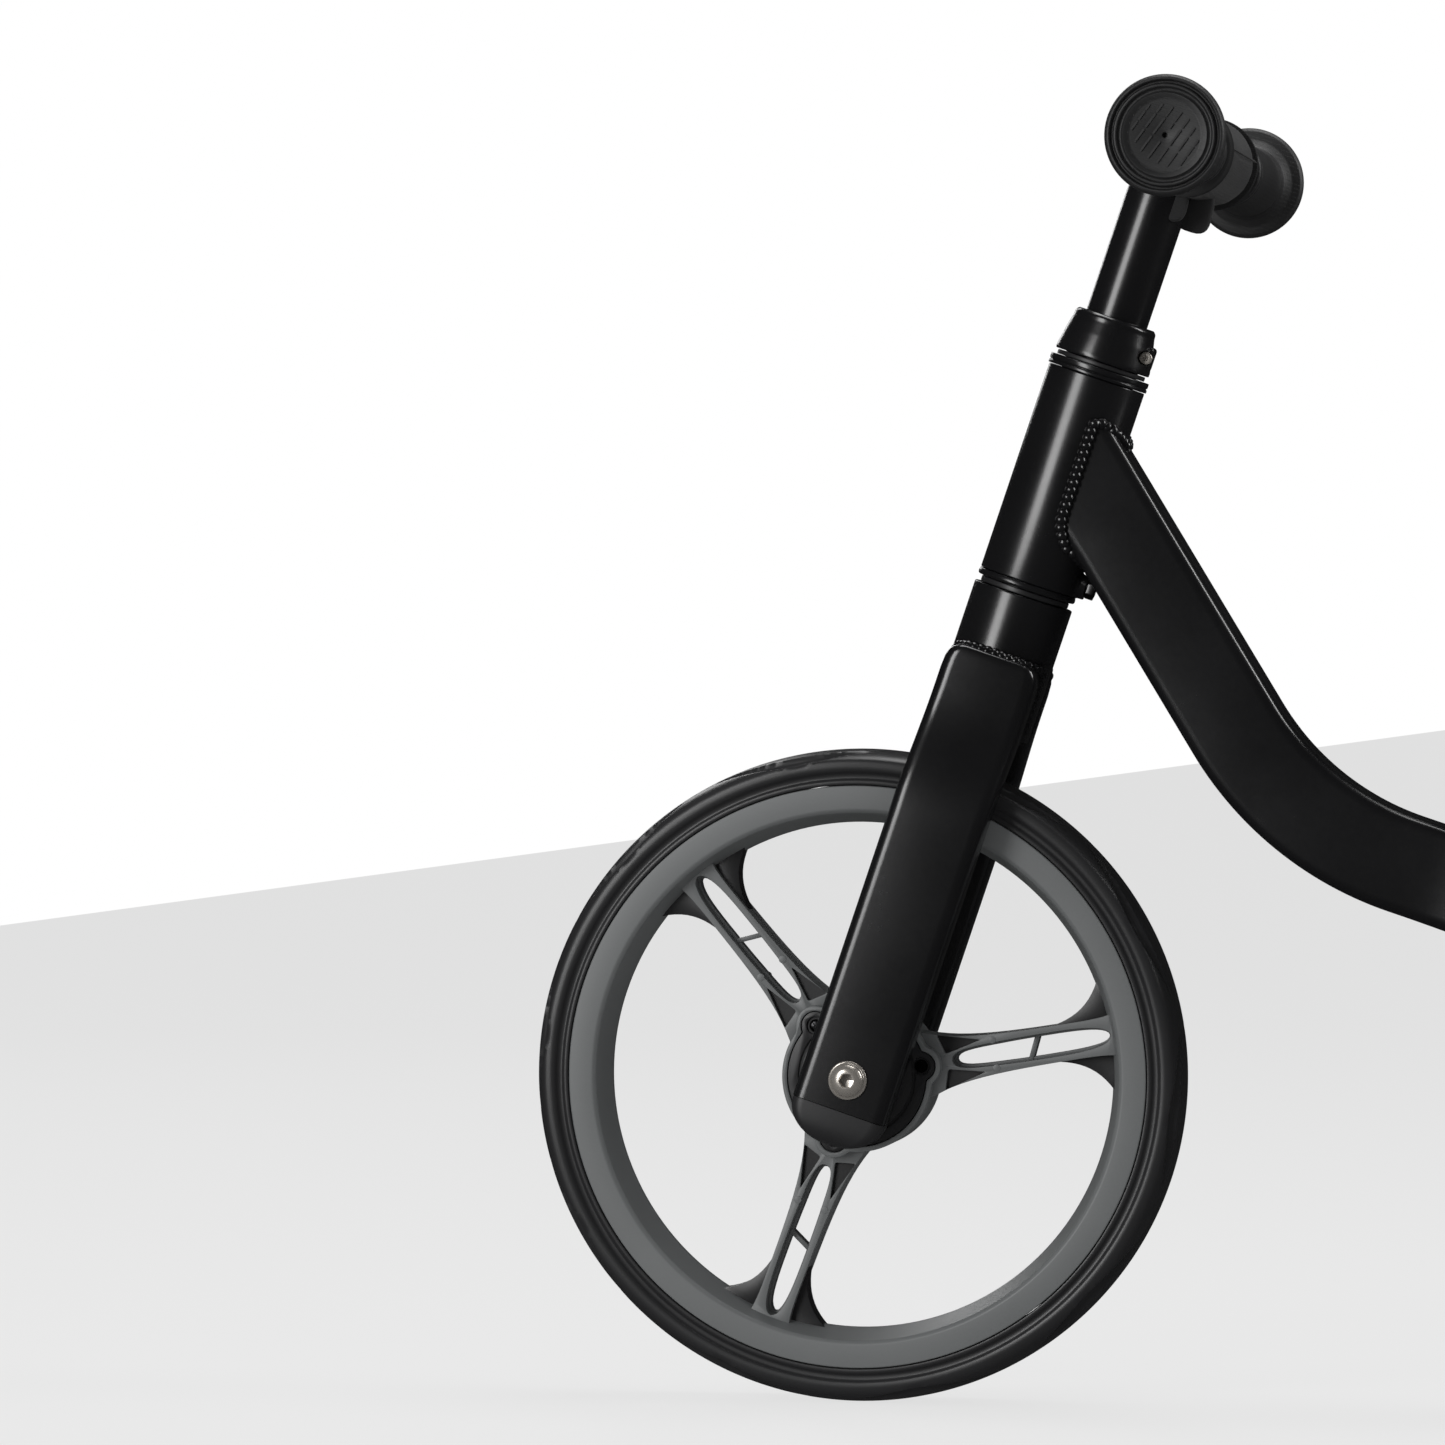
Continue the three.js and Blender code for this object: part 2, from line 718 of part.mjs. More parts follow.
// The stop bolt's own line: along +X from the steering axis, at the stop's height.
const alongX = (geometry) => geometry.rotateY(Math.PI / 2);
const stopHole = () => solid(alongX(rod(stopRadius + fit, 10, 60, 12)).translate(0, 0, stopHeight));

function headTube() {
  const tube = turnedUp(ring(headBore, headRadius, headBottom, headTop));
  const boss = alongX(rod(stopBossRadius, headBore + 1, stopBossEnd, 12));
  return tube.add(solid(boss.translate(0, 0, stopHeight))).subtract(stopHole());
}

const head = new THREE.Group(); // on the steering axis like the fork, but part of the frame
head.rotation.y = headAngle;
bike.add(head);

piece("head_tube", headTube(), blackPaint, head);

const cupBore = steererRadius + fit;
const cupFit = headBore - fit;
const lowerCup = turnedUp([
  [cupBore, headBottom - fit - cupFlange],
  [headRadius, headBottom - fit - cupFlange],
  [headRadius, headBottom - fit],
  [cupFit, headBottom - fit],
  [cupFit, headBottom + cupDepth],
  [cupBore, headBottom + cupDepth],
]);
piece("headset_cup_lower", lowerCup.subtract(stopHole()), blackPaint, head);

const upperCup = [
  [cupBore, headTop - cupDepth],
  [cupFit, headTop - cupDepth],
  [cupFit, headTop + fit],
  [headRadius + 0.6, headTop + fit],
  [headRadius + 0.6, headTop + fit + upperCupFlange],
  [cupBore, headTop + fit + upperCupFlange],
];
piece("headset_cup_upper", turnedUp(upperCup), blackPaint, head);

// Thin bearing rings that turn with the fork.
const lowerRingTop = headBottom - 2 * fit - cupFlange;
const lowerRing = ring(cupBore, ringRadius, crownTop + fit, lowerRingTop);
piece("headset_ring_lower", turnedUp(lowerRing), blackPlastic, fork);
const upperRingBottom = headTop + 2 * fit + upperCupFlange;
const upperRing = ring(cupBore, ringRadius, upperRingBottom, upperRingBottom + ringThickness);
piece("headset_ring_upper", turnedUp(upperRing), blackPlastic, fork);

function stopBolt() {
  const seat = stopBossEnd + fit;
  const shank = alongX(rod(stopRadius, steererRadius - 1.5, seat + 1, 12));
  const cap = alongX(rod(stopHeadRadius, seat, seat + stopHeadHeight, 6));
  return solid(shank).add(solid(cap));
}

piece("steering_stop_bolt", stopBolt(), steel, head).position.z = stopHeight;

// Both collars are split at the back by a slot and drawn together by a cross bolt in a lug.
const clampBoltX = (tubeRadius) => tubeRadius + clampBoltRadius + 1.2;

function splitAtBack(collar, tubeRadius, boltZ) {
  const lug = new THREE.BoxGeometry(lugDepth, 2 * lugHalfWidth, lugHeight);
  lug.translate(tubeRadius + fit + 0.4 + lugDepth / 2, 0, boltZ);
  const slit = new THREE.BoxGeometry(30, clampSlot, 80);
  slit.translate(tubeRadius + 8, 0, boltZ);
  const hole = pin(clampBoltRadius + fit, -30, 30, 10);
  const headRoom = pin(clampHeadRadius + fit, -30, -lugHalfWidth, 12);
  for (const cut of [hole, headRoom]) cut.translate(clampBoltX(tubeRadius), 0, boltZ);
  return [slit, hole, headRoom].reduce(
    (made, cut) => made.subtract(solid(cut)),
    collar.add(solid(lug)),
  );
}

function clampBolt() {
  const seatFace = -lugHalfWidth - fit;
  const shank = pin(clampBoltRadius, seatFace - 0.5, lugHalfWidth, 10);
  const cap = pin(clampHeadRadius, seatFace - clampHeadHeight, seatFace, 12);
  return solid(shank).add(solid(cap));
}

// Conical collar that squeezes the steerer on the stem.
function stemCollar() {
  const steererRoom = steererTop + fit;
  const waist = mix(collarBottomRadius, collarTopRadius, 0.45);
  return turnedUp([
    [steererRadius + fit, collarBottom],
    [collarBottomRadius, collarBottom],
    [waist, collarBottom + 0.5 * collarHeight],
    [collarTopRadius, collarTop],
    [stemRadius + fit, collarTop],
    [stemRadius + fit, steererRoom],
    [steererRadius + fit, steererRoom],
  ]);
}

const stemBoltZ = collarBottom + 8;
piece("stem_collar", splitAtBack(stemCollar(), steererRadius, stemBoltZ), blackPaint, fork);
const stemBolt = piece("stem_clamp_bolt", clampBolt(), steel, fork);
stemBolt.position.set(clampBoltX(steererRadius), 0, stemBoltZ);

// ---------------------------------------------------------------- handlebar

// Middle line of the crossbar: set back a little at the stem and further back at the grips.
const barSweep = stepsBetween(barBendStart, barBendEnd, 6);
const barStations = [
  -barHalfLength,
  ...barSweep.map((y) => -y).reverse(),
  ...barSweep,
  barHalfLength,
];
const barCurve = new StationCurve(barStations, upwards, (y) => {
  const x = mix(barSetback, gripSetback, smooth(Math.abs(y), barBendStart, barBendEnd));
  return new THREE.Vector3(x, y, barHeight);
});
const barRoom = () => roundTube(barCurve, barRadius + fit, 0);

const stem = turnedUp(ring(stemRadius - stemWall, stemRadius, steererTop - stemInsert, barHeight));
piece("handlebar_stem", stem.subtract(barRoom()), blackPaint, fork);
const crossbar = roundTube(barCurve, barRadius, barRadius - barWall);
piece("handlebar_crossbar", crossbar, blackPaint, fork);

// A soft grip with a wide flange at the outer end and a small vent in the middle of its face.
function grip(side) {
  const bore = barRadius + fit;
  const flange = gripOuterEnd - gripFlangeThickness;
  const corners = [
    [bore, gripInnerEnd],
    [gripRadius - 0.6, gripInnerEnd],
    [gripRadius, gripInnerEnd + 4],
    [gripRadius, flange - 6],
    [gripFlangeRadius - 4, flange],
    [gripFlangeRadius, flange + 3],
    [gripFlangeRadius - 1, gripOuterEnd - 1],
    [gripFlangeRadius - 4, gripOuterEnd],
    [gripFlangeRadius - 6, gripOuterEnd - 1.5],
    [1, gripOuterEnd - 1.5],
    [1, barHalfLength + fit],
    [bore, barHalfLength + fit],
  ];
  const made = turned(corners.map(([r, y]) => [r, side * y]));
  return made;
}

for (const [name, side] of sides) {
  piece("grip_" + name, grip(side), rubber, fork).position.set(gripSetback, 0, barHeight);
}

// Padded cover round the middle of the bar, thicker towards the rider.
function barPad() {
  const sleeve = solid(pin(padRadius, -padHalfLength, padHalfLength, 20));
  const stemRoom = solid(rod(stemRadius + fit, barHeight - 60, barHeight));
  return sleeve.translate([padSetback, 0, barHeight]).subtract(barRoom()).subtract(stemRoom);
}

piece("handlebar_pad", barPad(), fabric, fork);

// ---------------------------------------------------------------- frame beams

// The beam's middle line in the side view: a steep straight, a round bend, and an easy straight
// whose fall is found so that it runs through the rear axle.
const beamLine = (() => {
  const start = new THREE.Vector2(beamStartX, beamStartHeight);
  const steep = new THREE.Vector2(Math.cos(beamFall), -Math.sin(beamFall));
  const bendStart = start.clone().addScaledVector(steep, beamSteepLength);
  const centre = new THREE.Vector2(-steep.y, steep.x).multiplyScalar(beamBendRadius).add(bendStart);
  const toAxle = new THREE.Vector2(wheelbase, 0).sub(centre);
  const easyFall = -Math.atan2(toAxle.y, toAxle.x) - Math.asin(beamBendRadius / toAxle.length());
  const easy = new THREE.Vector2(Math.cos(easyFall), -Math.sin(easyFall));
  const bendLength = beamBendRadius * (beamFall - easyFall);
  const bendEnd = new THREE.Vector2(easy.y, -easy.x).multiplyScalar(beamBendRadius).add(centre);
  const easyLength = new THREE.Vector2(wheelbase, 0).sub(bendEnd).length() + beamEndReach;
  return { start, steep, centre, easyFall, easy, bendLength, bendEnd, easyLength };
})();

// The point of the middle line at a distance along it.
function beamPoint(distance) {
  const { start, steep, centre, bendLength, bendEnd, easy } = beamLine;
  if (distance < beamSteepLength) return start.clone().addScaledVector(steep, distance);
  const past = distance - beamSteepLength - bendLength;
  if (past > 0) return bendEnd.clone().addScaledVector(easy, past);
  const fall = beamFall - (distance - beamSteepLength) / beamBendRadius;
  const outward = new THREE.Vector2(-Math.sin(fall), -Math.cos(fall));
  return outward.multiplyScalar(beamBendRadius).add(centre);
}

const seatRootHeight = (wheelbase - seatTubeX) * Math.tan(beamLine.easyFall);

// A frame beam: both lie side by side from the head tube, then part to pass the rear wheel.
function beam(side) {
  const bendEndLength = beamSteepLength + beamLine.bendLength;
  const lengthAt = (x) => bendEndLength + (x - beamLine.bendEnd.x) / beamLine.easy.x;
  const stations = [
    0,
    ...stepsBetween(beamSteepLength, bendEndLength, 8),
    ...stepsBetween(lengthAt(splayStart), lengthAt(splayEnd), 8),
    bendEndLength + beamLine.easyLength,
  ];
  const curve = new StationCurve(stations, sideways, (along) => {
    const { x, y: z } = beamPoint(along);
    const together = (beamGap + tubeWidth) / 2;
    const y = mix(together, besideWheel, smooth(x, splayStart, splayEnd));
    return new THREE.Vector3(x, side * y, z);
  });
  const headRoom = rod(headRadius + fit, headBottom - 60, headTop + 60).rotateY(headAngle);
  const bossRoom = alongX(rod(stopBossRadius + fit, 0, stopBossEnd + 20, 12));
  bossRoom.translate(0, 0, stopHeight).rotateY(headAngle);
  const seatRoom = rod(seatTubeRadius + fit, -90, 90).rotateY(seatAngle);
  seatRoom.translate(seatTubeX, 0, seatRootHeight);
  const hole = pin(boltRadius + fit, -60, 60).translate(wheelbase, 0, 0);
  return [headRoom, bossRoom, seatRoom, hole].reduce(
    (made, room) => made.subtract(solid(room)),
    flatTube(curve),
  );
}

for (const [name, side] of sides) {
  piece("frame_beam_" + name, beam(side), blackPaint);
  const end = new THREE.Group();
  const { x, y: z } = beamLine.easy.clone().multiplyScalar(beamEndReach);
  end.position.set(wheelbase + x, side * besideWheel, z);
  end.rotation.y = beamLine.easyFall - Math.PI / 2;
  bike.add(end);
  piece("beam_end_cap_" + name, endCap(), blackPlastic, end);
}

// ---------------------------------------------------------------- seat tube, post and saddle

const seat = new THREE.Group(); // its Z runs up the seat tube
seat.position.set(seatTubeX, 0, seatRootHeight);
seat.rotation.y = seatAngle;
bike.add(seat);

const seatTube = ring(seatTubeBore, seatTubeRadius, -seatTubeBelow, seatTubeAbove);
piece("seat_tube", turnedUp(seatTube), blackPaint, seat);

const seatCollarTop = seatTubeAbove - 1;
const seatCollarBolt = seatCollarTop - seatCollarHeight / 2;
const seatCollarRing = ring(
  seatTubeRadius + fit,
  seatCollarRadius,
  seatCollarTop - seatCollarHeight,
  seatCollarTop,
);
const seatCollar = splitAtBack(turnedUp(seatCollarRing), seatTubeRadius, seatCollarBolt);
piece("seat_collar", seatCollar, blackPaint, seat);
const seatBolt = piece("seat_clamp_bolt", clampBolt(), steel, seat);
seatBolt.position.set(clampBoltX(seatTubeRadius), 0, seatCollarBolt);

const seatPostTop = seatTubeAbove + seatPostExposed;
const seatPost = ring(
  seatPostRadius - 2,
  seatPostRadius,
  seatTubeAbove - seatPostInsert,
  seatPostTop,
);
piece("seat_post", turnedUp(seatPost), blackPaint, seat);

const saddle = new THREE.Group(); // level but for the tail's rise, at the top of the post
saddle.position.z = seatPostTop + postToSaddle;
saddle.rotation.y = -seatAngle - saddleRise;
seat.add(saddle);

// Half-round nose, long waist and broad tail, shrunk all round by an inset.
function saddleOutline(inset) {
  const nose = saddleForward - saddleLength + inset;
  const tail = saddleForward - inset;
  const noseHalf = saddleNoseWidth / 2 - inset;
  const tailHalf = saddleRearWidth / 2 - inset;
  const waist = mix(nose, tail, 0.32);
  const hip = mix(nose, tail, 0.8);
  const outline = new THREE.Shape();
  outline.moveTo(nose, 0);
  outline.bezierCurveTo(nose, -0.8 * noseHalf, nose + 16, -noseHalf, waist, -noseHalf - 2);
  outline.bezierCurveTo(waist + 36, -noseHalf - 4, hip - 34, -tailHalf, hip, -tailHalf);
  outline.bezierCurveTo(tail - 10, -tailHalf, tail, -0.6 * tailHalf, tail, 0);
  outline.bezierCurveTo(tail, 0.6 * tailHalf, tail - 10, tailHalf, hip, tailHalf);
  outline.bezierCurveTo(hip - 34, tailHalf, waist + 36, noseHalf + 4, waist, noseHalf + 2);
  outline.bezierCurveTo(nose + 16, noseHalf, nose, 0.8 * noseHalf, nose, 0);
  return outline;
}

function saddleBase() {
  const options = { depth: saddleBaseThickness, bevelEnabled: false, curveSegments: 5 };
  const shell = solid(new THREE.ExtrudeGeometry(saddleOutline(saddleBaseInset), options));
  const lean = seatAngle + saddleRise;
  const bottom = -saddleSocketDepth - postToSaddle;
  const socket = solid(rod(saddleSocketRadius, bottom, saddleSocketRadius).rotateY(lean));
  const above = new THREE.BoxGeometry(saddleLength, saddleLength, saddleLength);
  above.translate(0, 0, saddleLength / 2 + saddleBaseThickness / 2);
  const bore = solid(rod(seatTubeBore, bottom - 20, fit - postToSaddle).rotateY(lean));
  return shell.add(socket.subtract(solid(above))).subtract(bore);
}

piece("saddle_base", saddleBase(), blackPlastic, saddle);

const padBevel = 9;
const padShape = new THREE.ExtrudeGeometry(saddleOutline(0), {
  depth: saddleThickness - 2 * padBevel,
  bevelThickness: padBevel,
  bevelSize: padBevel,
  bevelOffset: -padBevel,
  bevelSegments: 2,
  curveSegments: 5,
});
padShape.translate(0, 0, saddleBaseThickness + fit + padBevel);
piece("saddle_pad", solid(padShape), fabric, saddle);

export default bike;
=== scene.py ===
import math

import bmesh
import bpy
from mathutils import Matrix, Vector


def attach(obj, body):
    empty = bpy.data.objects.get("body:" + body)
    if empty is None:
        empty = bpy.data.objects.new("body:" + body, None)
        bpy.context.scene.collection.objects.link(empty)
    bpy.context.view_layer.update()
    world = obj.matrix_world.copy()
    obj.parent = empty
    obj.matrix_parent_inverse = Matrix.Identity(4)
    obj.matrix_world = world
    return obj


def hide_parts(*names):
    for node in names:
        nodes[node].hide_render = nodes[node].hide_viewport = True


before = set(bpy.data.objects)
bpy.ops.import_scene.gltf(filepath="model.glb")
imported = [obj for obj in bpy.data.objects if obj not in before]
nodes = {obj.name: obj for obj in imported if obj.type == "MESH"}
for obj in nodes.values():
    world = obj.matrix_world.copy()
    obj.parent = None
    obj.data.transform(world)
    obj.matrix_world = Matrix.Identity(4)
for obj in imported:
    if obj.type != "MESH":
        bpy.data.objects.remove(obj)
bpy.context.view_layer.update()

# Camera, floor and light: a long lens a little ahead of the bike and above its axles, a pale
# floor that runs out of sight, and soft boxes that draw long streaks down the tubes.
MM = 0.001
wheelbase = 545
tyre_radius = 147.5
front_axle = Matrix.Translation((-wheelbase / 2 * MM, 0, tyre_radius * MM))

bpy.ops.object.select_all(action="DESELECT")
bpy.ops.object.camera_add()
camera = bpy.context.object
camera.name = "camera"
stand = (0.50317, -3.47866, 0.21351)  # from the front axle, in metres
yaw, pitch, roll = 0.1621, -0.0142, -0.0096
looking = (
    Matrix.Rotation(roll, 4, "Y")
    @ Matrix.Rotation(pitch, 4, "X")
    @ Matrix.Rotation(yaw, 4, "Z")
    @ Matrix.Rotation(math.radians(90), 4, "X")
)
camera.matrix_world = front_axle @ Matrix.Translation(stand) @ looking
camera.data.lens = 193.6
camera.data.sensor_width = 36
camera.data.clip_end = 50
bpy.context.scene.camera = camera

world = bpy.data.worlds.new("studio")
world.use_nodes = True
sky = world.node_tree
backdrop = sky.nodes["Background"]
ray, fill_or_gloss, seen = (sky.nodes.new(kind) for kind in
                            ("ShaderNodeLightPath", "ShaderNodeMix", "ShaderNodeMix"))
fill_or_gloss.data_type = seen.data_type = "RGBA"
fill_or_gloss.inputs["A"].default_value = (0.6, 0.6, 0.6, 1)
fill_or_gloss.inputs["B"].default_value = (0.012, 0.012, 0.012, 1)
seen.inputs["B"].default_value = (1, 1, 1, 1)
sky.links.new(ray.outputs["Is Glossy Ray"], fill_or_gloss.inputs["Factor"])
sky.links.new(fill_or_gloss.outputs["Result"], seen.inputs["A"])
sky.links.new(ray.outputs["Is Camera Ray"], seen.inputs["Factor"])
sky.links.new(seen.outputs["Result"], backdrop.inputs["Color"])
bpy.context.scene.world = world
bpy.context.scene.view_settings.view_transform = "Standard"


def soft_box(name, place, aim, width, height, power):
    bpy.ops.object.light_add(type="AREA", location=place)
    box = bpy.context.object
    box.name = name
    box.data.shape = "RECTANGLE"
    box.data.size = width
    box.data.size_y = height
    box.data.energy = power
    box.rotation_euler = (Vector(aim) - Vector(place)).to_track_quat("-Z", "Y").to_euler()
    return box


soft_box("left_strip", (-1.65, -2.6, 1.0), (-0.2, 0, 0.35), 1.0, 1.8, 46)
soft_box("right_strip", (2.3, 0.1, 1.35), (0, 0, 0.35), 0.5, 1.6, 30)
soft_box("left_fill", (-2.6, -1.2, 1.7), (-0.1, 0, 0.2), 0.8, 0.8, 16).visible_glossy = False
soft_box("back_strip", (-1.2, 2.2, 1.4), (-0.1, 0, 0.3), 0.4, 1.2, 5)
soft_box("top_light", (0.1, 0.3, 2.2), (0, 0, 0.3), 1.4, 1.0, 24)

bpy.ops.mesh.primitive_plane_add(size=60)
floor = bpy.context.object
floor.name = "floor"
edge_near, edge_far = Vector((-3.3, -30, 0)), Vector((0.26, 60, 0))  # where the sheet ends
for vertex in floor.data.vertices:
    if vertex.co.x < 0:
        vertex.co = edge_far if vertex.co.y > 0 else edge_near
    else:
        vertex.co.y *= 2
floor_paint = bpy.data.materials.new("floor_paint")
floor_paint.use_nodes = True
floor_shader = floor_paint.node_tree.nodes["Principled BSDF"]
for socket, value in (("Base Color", (0.05, 0.05, 0.05, 1)), ("Emission Color", (1, 1, 1, 1)),
                      ("Emission Strength", 0.72), ("Roughness", 0.95)):
    floor_shader.inputs[socket].default_value = value
floor.data.materials.append(floor_paint)
floor.visible_glossy = False


# Tyres: closed-cell foam rings with a skin from the mould, stretched over the rims. Slanting
# crescents are moulded in both shoulders, ten to a side, and a ridge stands beside the rim.
def rounded(corners, radius, steps=3, closed=True):
    """The corners of an outline, each eased by a short curve."""
    eased = []
    count = len(corners)
    for i, corner in enumerate(corners):
        if not closed and i in (0, count - 1):
            eased.append(tuple(corner))
            continue
        here = Vector(corner)
        before = Vector(corners[i - 1]) - here
        after = Vector(corners[(i + 1) % count]) - here
        start = here + before.normalized() * min(radius, 0.45 * before.length)
        end = here + after.normalized() * min(radius, 0.45 * after.length)
        for k in range(steps + 1):
            t = k / steps
            eased.append(tuple(start * (1 - t) ** 2 + here * 2 * t * (1 - t) + end * t * t))
    return eased


def wire(name, corners):
    """A closed wire through points in metres, left in edit mode with all of it selected."""
    bpy.ops.object.select_all(action="DESELECT")
    bpy.ops.mesh.primitive_circle_add(vertices=len(corners), radius=1)
    drawn = bpy.context.object
    drawn.name = name
    drawn.data.name = name
    for vertex, corner in zip(drawn.data.vertices, corners):
        vertex.co = corner
    bpy.ops.object.mode_set(mode="EDIT")
    bpy.ops.mesh.select_all(action="SELECT")
    return drawn


def closed_up():
    """Merges, cleans and turns outwards the mesh being edited, and leaves edit mode."""
    bpy.ops.mesh.select_all(action="SELECT")
    bpy.ops.mesh.remove_doubles(threshold=2e-6)
    bpy.ops.mesh.delete_loose()
    bpy.ops.mesh.select_all(action="SELECT")
    bpy.ops.mesh.normals_make_consistent(inside=False)
    bpy.ops.object.mode_set(mode="OBJECT")


def only(piece):
    bpy.ops.object.select_all(action="DESELECT")
    piece.select_set(True)
    bpy.context.view_layer.objects.active = piece


def smoothed(piece, angle=35):
    only(piece)
    bpy.ops.object.shade_smooth_by_angle(angle=math.radians(angle))
    return piece


def moved(piece, place):
    """Puts a piece in its place, which ends up in its mesh."""
    only(piece)
    piece.matrix_world = place
    bpy.ops.object.transform_apply(location=True, rotation=True, scale=True)
    return piece


def turned(name, profile, place, steps=96):
    """A piece turned about its local Z from (radius, height) corners in millimetres."""
    piece = wire(name, [Vector((r * MM, 0, z * MM)) for r, z in profile])
    bpy.ops.mesh.spin(steps=steps, angle=2 * math.pi, center=(0, 0, 0), axis=(0, 0, 1))
    closed_up()
    return moved(smoothed(piece), place)


def finished(piece, kind, value, **settings):
    """Adds one modifier and applies it."""
    only(piece)
    modifier = piece.modifiers.new(kind.lower(), kind)
    for setting, worth in {**value, **settings}.items():
        setattr(modifier, setting, worth)
    bpy.ops.object.modifier_apply(modifier=modifier.name)
    return piece


def moulded_grain():
    """Grain, patchy tone and patchy gloss, for every moulded, painted or cast surface."""
    group = bpy.data.node_groups.new("moulded_grain", "ShaderNodeTree")
    face = group.interface
    for socket, kind, default in (
        ("Grain Scale", "NodeSocketFloat", 900),
        ("Patch Scale", "NodeSocketFloat", 12),
        ("Dark", "NodeSocketColor", (0.01, 0.01, 0.01, 1)),
        ("Light", "NodeSocketColor", (0.02, 0.02, 0.02, 1)),
        ("Smooth", "NodeSocketFloat", 0.3),
        ("Rough", "NodeSocketFloat", 0.4),
    ):
        face.new_socket(socket, in_out="INPUT", socket_type=kind).default_value = default
    for socket, kind in (("Color", "Color"), ("Roughness", "Float"), ("Height", "Float")):
        face.new_socket(socket, in_out="OUTPUT", socket_type="NodeSocket" + kind)
    made, link = group.nodes, group.links.new
    given, out = made.new("NodeGroupInput"), made.new("NodeGroupOutput")
    place = made.new("ShaderNodeTexCoord")
    grain, patch = made.new("ShaderNodeTexNoise"), made.new("ShaderNodeTexNoise")
    grain.inputs["Detail"].default_value = 4
    patch.inputs["Detail"].default_value = 6
    tone, gloss = made.new("ShaderNodeMix"), made.new("ShaderNodeMapRange")
    tone.data_type = "RGBA"
    blend = made.new("ShaderNodeMath")
    blend.operation = "MULTIPLY_ADD"
    blend.inputs[1].default_value = 0.35
    link(place.outputs["Object"], grain.inputs["Vector"])
    link(place.outputs["Object"], patch.inputs["Vector"])
    link(given.outputs["Grain Scale"], grain.inputs["Scale"])
    link(given.outputs["Patch Scale"], patch.inputs["Scale"])
    link(grain.outputs["Fac"], blend.inputs[0])
    link(patch.outputs["Fac"], blend.inputs[2])
    link(blend.outputs[0], tone.inputs["Factor"])
    link(given.outputs["Dark"], tone.inputs["A"])
    link(given.outputs["Light"], tone.inputs["B"])
    link(blend.outputs[0], gloss.inputs["Value"])
    gloss.inputs["From Min"].default_value = 0.35
    gloss.inputs["From Max"].default_value = 0.95
    link(given.outputs["Smooth"], gloss.inputs["To Min"])
    link(given.outputs["Rough"], gloss.inputs["To Max"])
    link(tone.outputs["Result"], out.inputs["Color"])
    link(gloss.outputs["Result"], out.inputs["Roughness"])
    link(grain.outputs["Fac"], out.inputs["Height"])
    return group


grain_group = moulded_grain()


def surface(name, dark, light, smooth, rough, grain=900, patch=12, bump=0.1, depth=0.1):
    """A material whose tone, gloss and grain come from moulded_grain. Depth is in millimetres."""
    material = bpy.data.materials.new(name)
    material.use_nodes = True
    tree = material.node_tree
    shader = tree.nodes["Principled BSDF"]
    group = tree.nodes.new("ShaderNodeGroup")
    group.node_tree = grain_group
    group.name = "grain"
    for socket, value in (("Grain Scale", grain), ("Patch Scale", patch), ("Dark", (*dark, 1)),
                          ("Light", (*light, 1)), ("Smooth", smooth), ("Rough", rough)):
        group.inputs[socket].default_value = value
    raised = tree.nodes.new("ShaderNodeBump")
    raised.name = "raised"
    raised.inputs["Strength"].default_value = bump
    raised.inputs["Distance"].default_value = depth * MM
    tree.links.new(group.outputs["Color"], shader.inputs["Base Color"])
    tree.links.new(group.outputs["Roughness"], shader.inputs["Roughness"])
    tree.links.new(group.outputs["Height"], raised.inputs["Height"])
    tree.links.new(raised.outputs["Normal"], shader.inputs["Normal"])
    return material


def dressed(piece, material, body, slot, *stands_for):
    """Gives a finished piece its material, its body and the CAD nodes it stands for."""
    piece.data.materials.clear()
    piece.data.materials.append(material)
    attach(piece, body)
    if stands_for:
        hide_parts(*stands_for)
    return piece


def copied(piece, name, shift=0.0):
    """A copy with its own mesh, moved along the bike by shift in metres."""
    copy = bpy.data.objects.new(name, piece.data.copy())
    copy.data.name = name
    bpy.context.collection.objects.link(copy)
    copy.data.transform(Matrix.Translation((shift, 0, 0)))
    return copy


def mirrored(piece, name):
    """The same piece for the bike's other side."""
    copy = copied(piece, name)
    copy.data.transform(Matrix.Scale(-1, 4, (0, 1, 0)))
    copy.data.flip_normals()
    return copy


tread_drop, tread_half = 6.4, 21.6
tread = [(tyre_radius - tread_drop * (1 - math.cos(t)), tread_half * math.sin(t) ** 0.86)
         for t in [math.radians(a) for a in range(2, 78, 3)]]
shoulder_corners = [(141.4, 21.5), (139.4, 21.7), (137.6, 21.4), (136.6, 20.2), (134.4, 20.0),
                    (133.6, 21.0), (131.7, 21.1), (131.4, 19.6), (131.4, 16.0)]
shoulder = rounded(shoulder_corners, 0.6, 2, closed=False)
half_tyre = tread + shoulder
tyre_profile = half_tyre + [(r, -y) for r, y in reversed(half_tyre)]
along_axle = Matrix.Rotation(math.radians(-90), 4, "X")
tyre = turned("tyre", tyre_profile, front_axle @ along_axle, 720)

groove_pitch = 36
groove_length = 31
groove_first = 118  # where one crescent starts, counted up from the tail side, in degrees
groove_lowest = 140.2
groove_near, groove_spread = 4, 14.5  # from the tread's middle, and how much further at most
groove_half_width = 2.8
groove_depth = 2.6
axle_point = front_axle.translation
cut_in = tyre.vertex_groups.new(name="crescents")
for vertex in tyre.data.vertices:
    x, y, z = (vertex.co - axle_point) / MM
    radius = math.hypot(x, z)
    if radius < groove_lowest:
        continue
    turn = math.degrees(math.atan2(z, x))
    along = ((groove_first - turn) % groove_pitch) / groove_length
    if along > 1:
        continue
    middle = groove_near + groove_spread * math.sin(math.pi * (0.06 + 0.8 * along)) ** 0.8
    half = groove_half_width * (0.4 + 0.6 * math.sin(math.pi * along) ** 0.5)
    off = abs(abs(y) - middle) / half
    if off < 1:
        cut_in.add([vertex.index], (1 - off * off) ** 0.7 * min(1, 6 * (1 - along), 8 * along), "REPLACE")
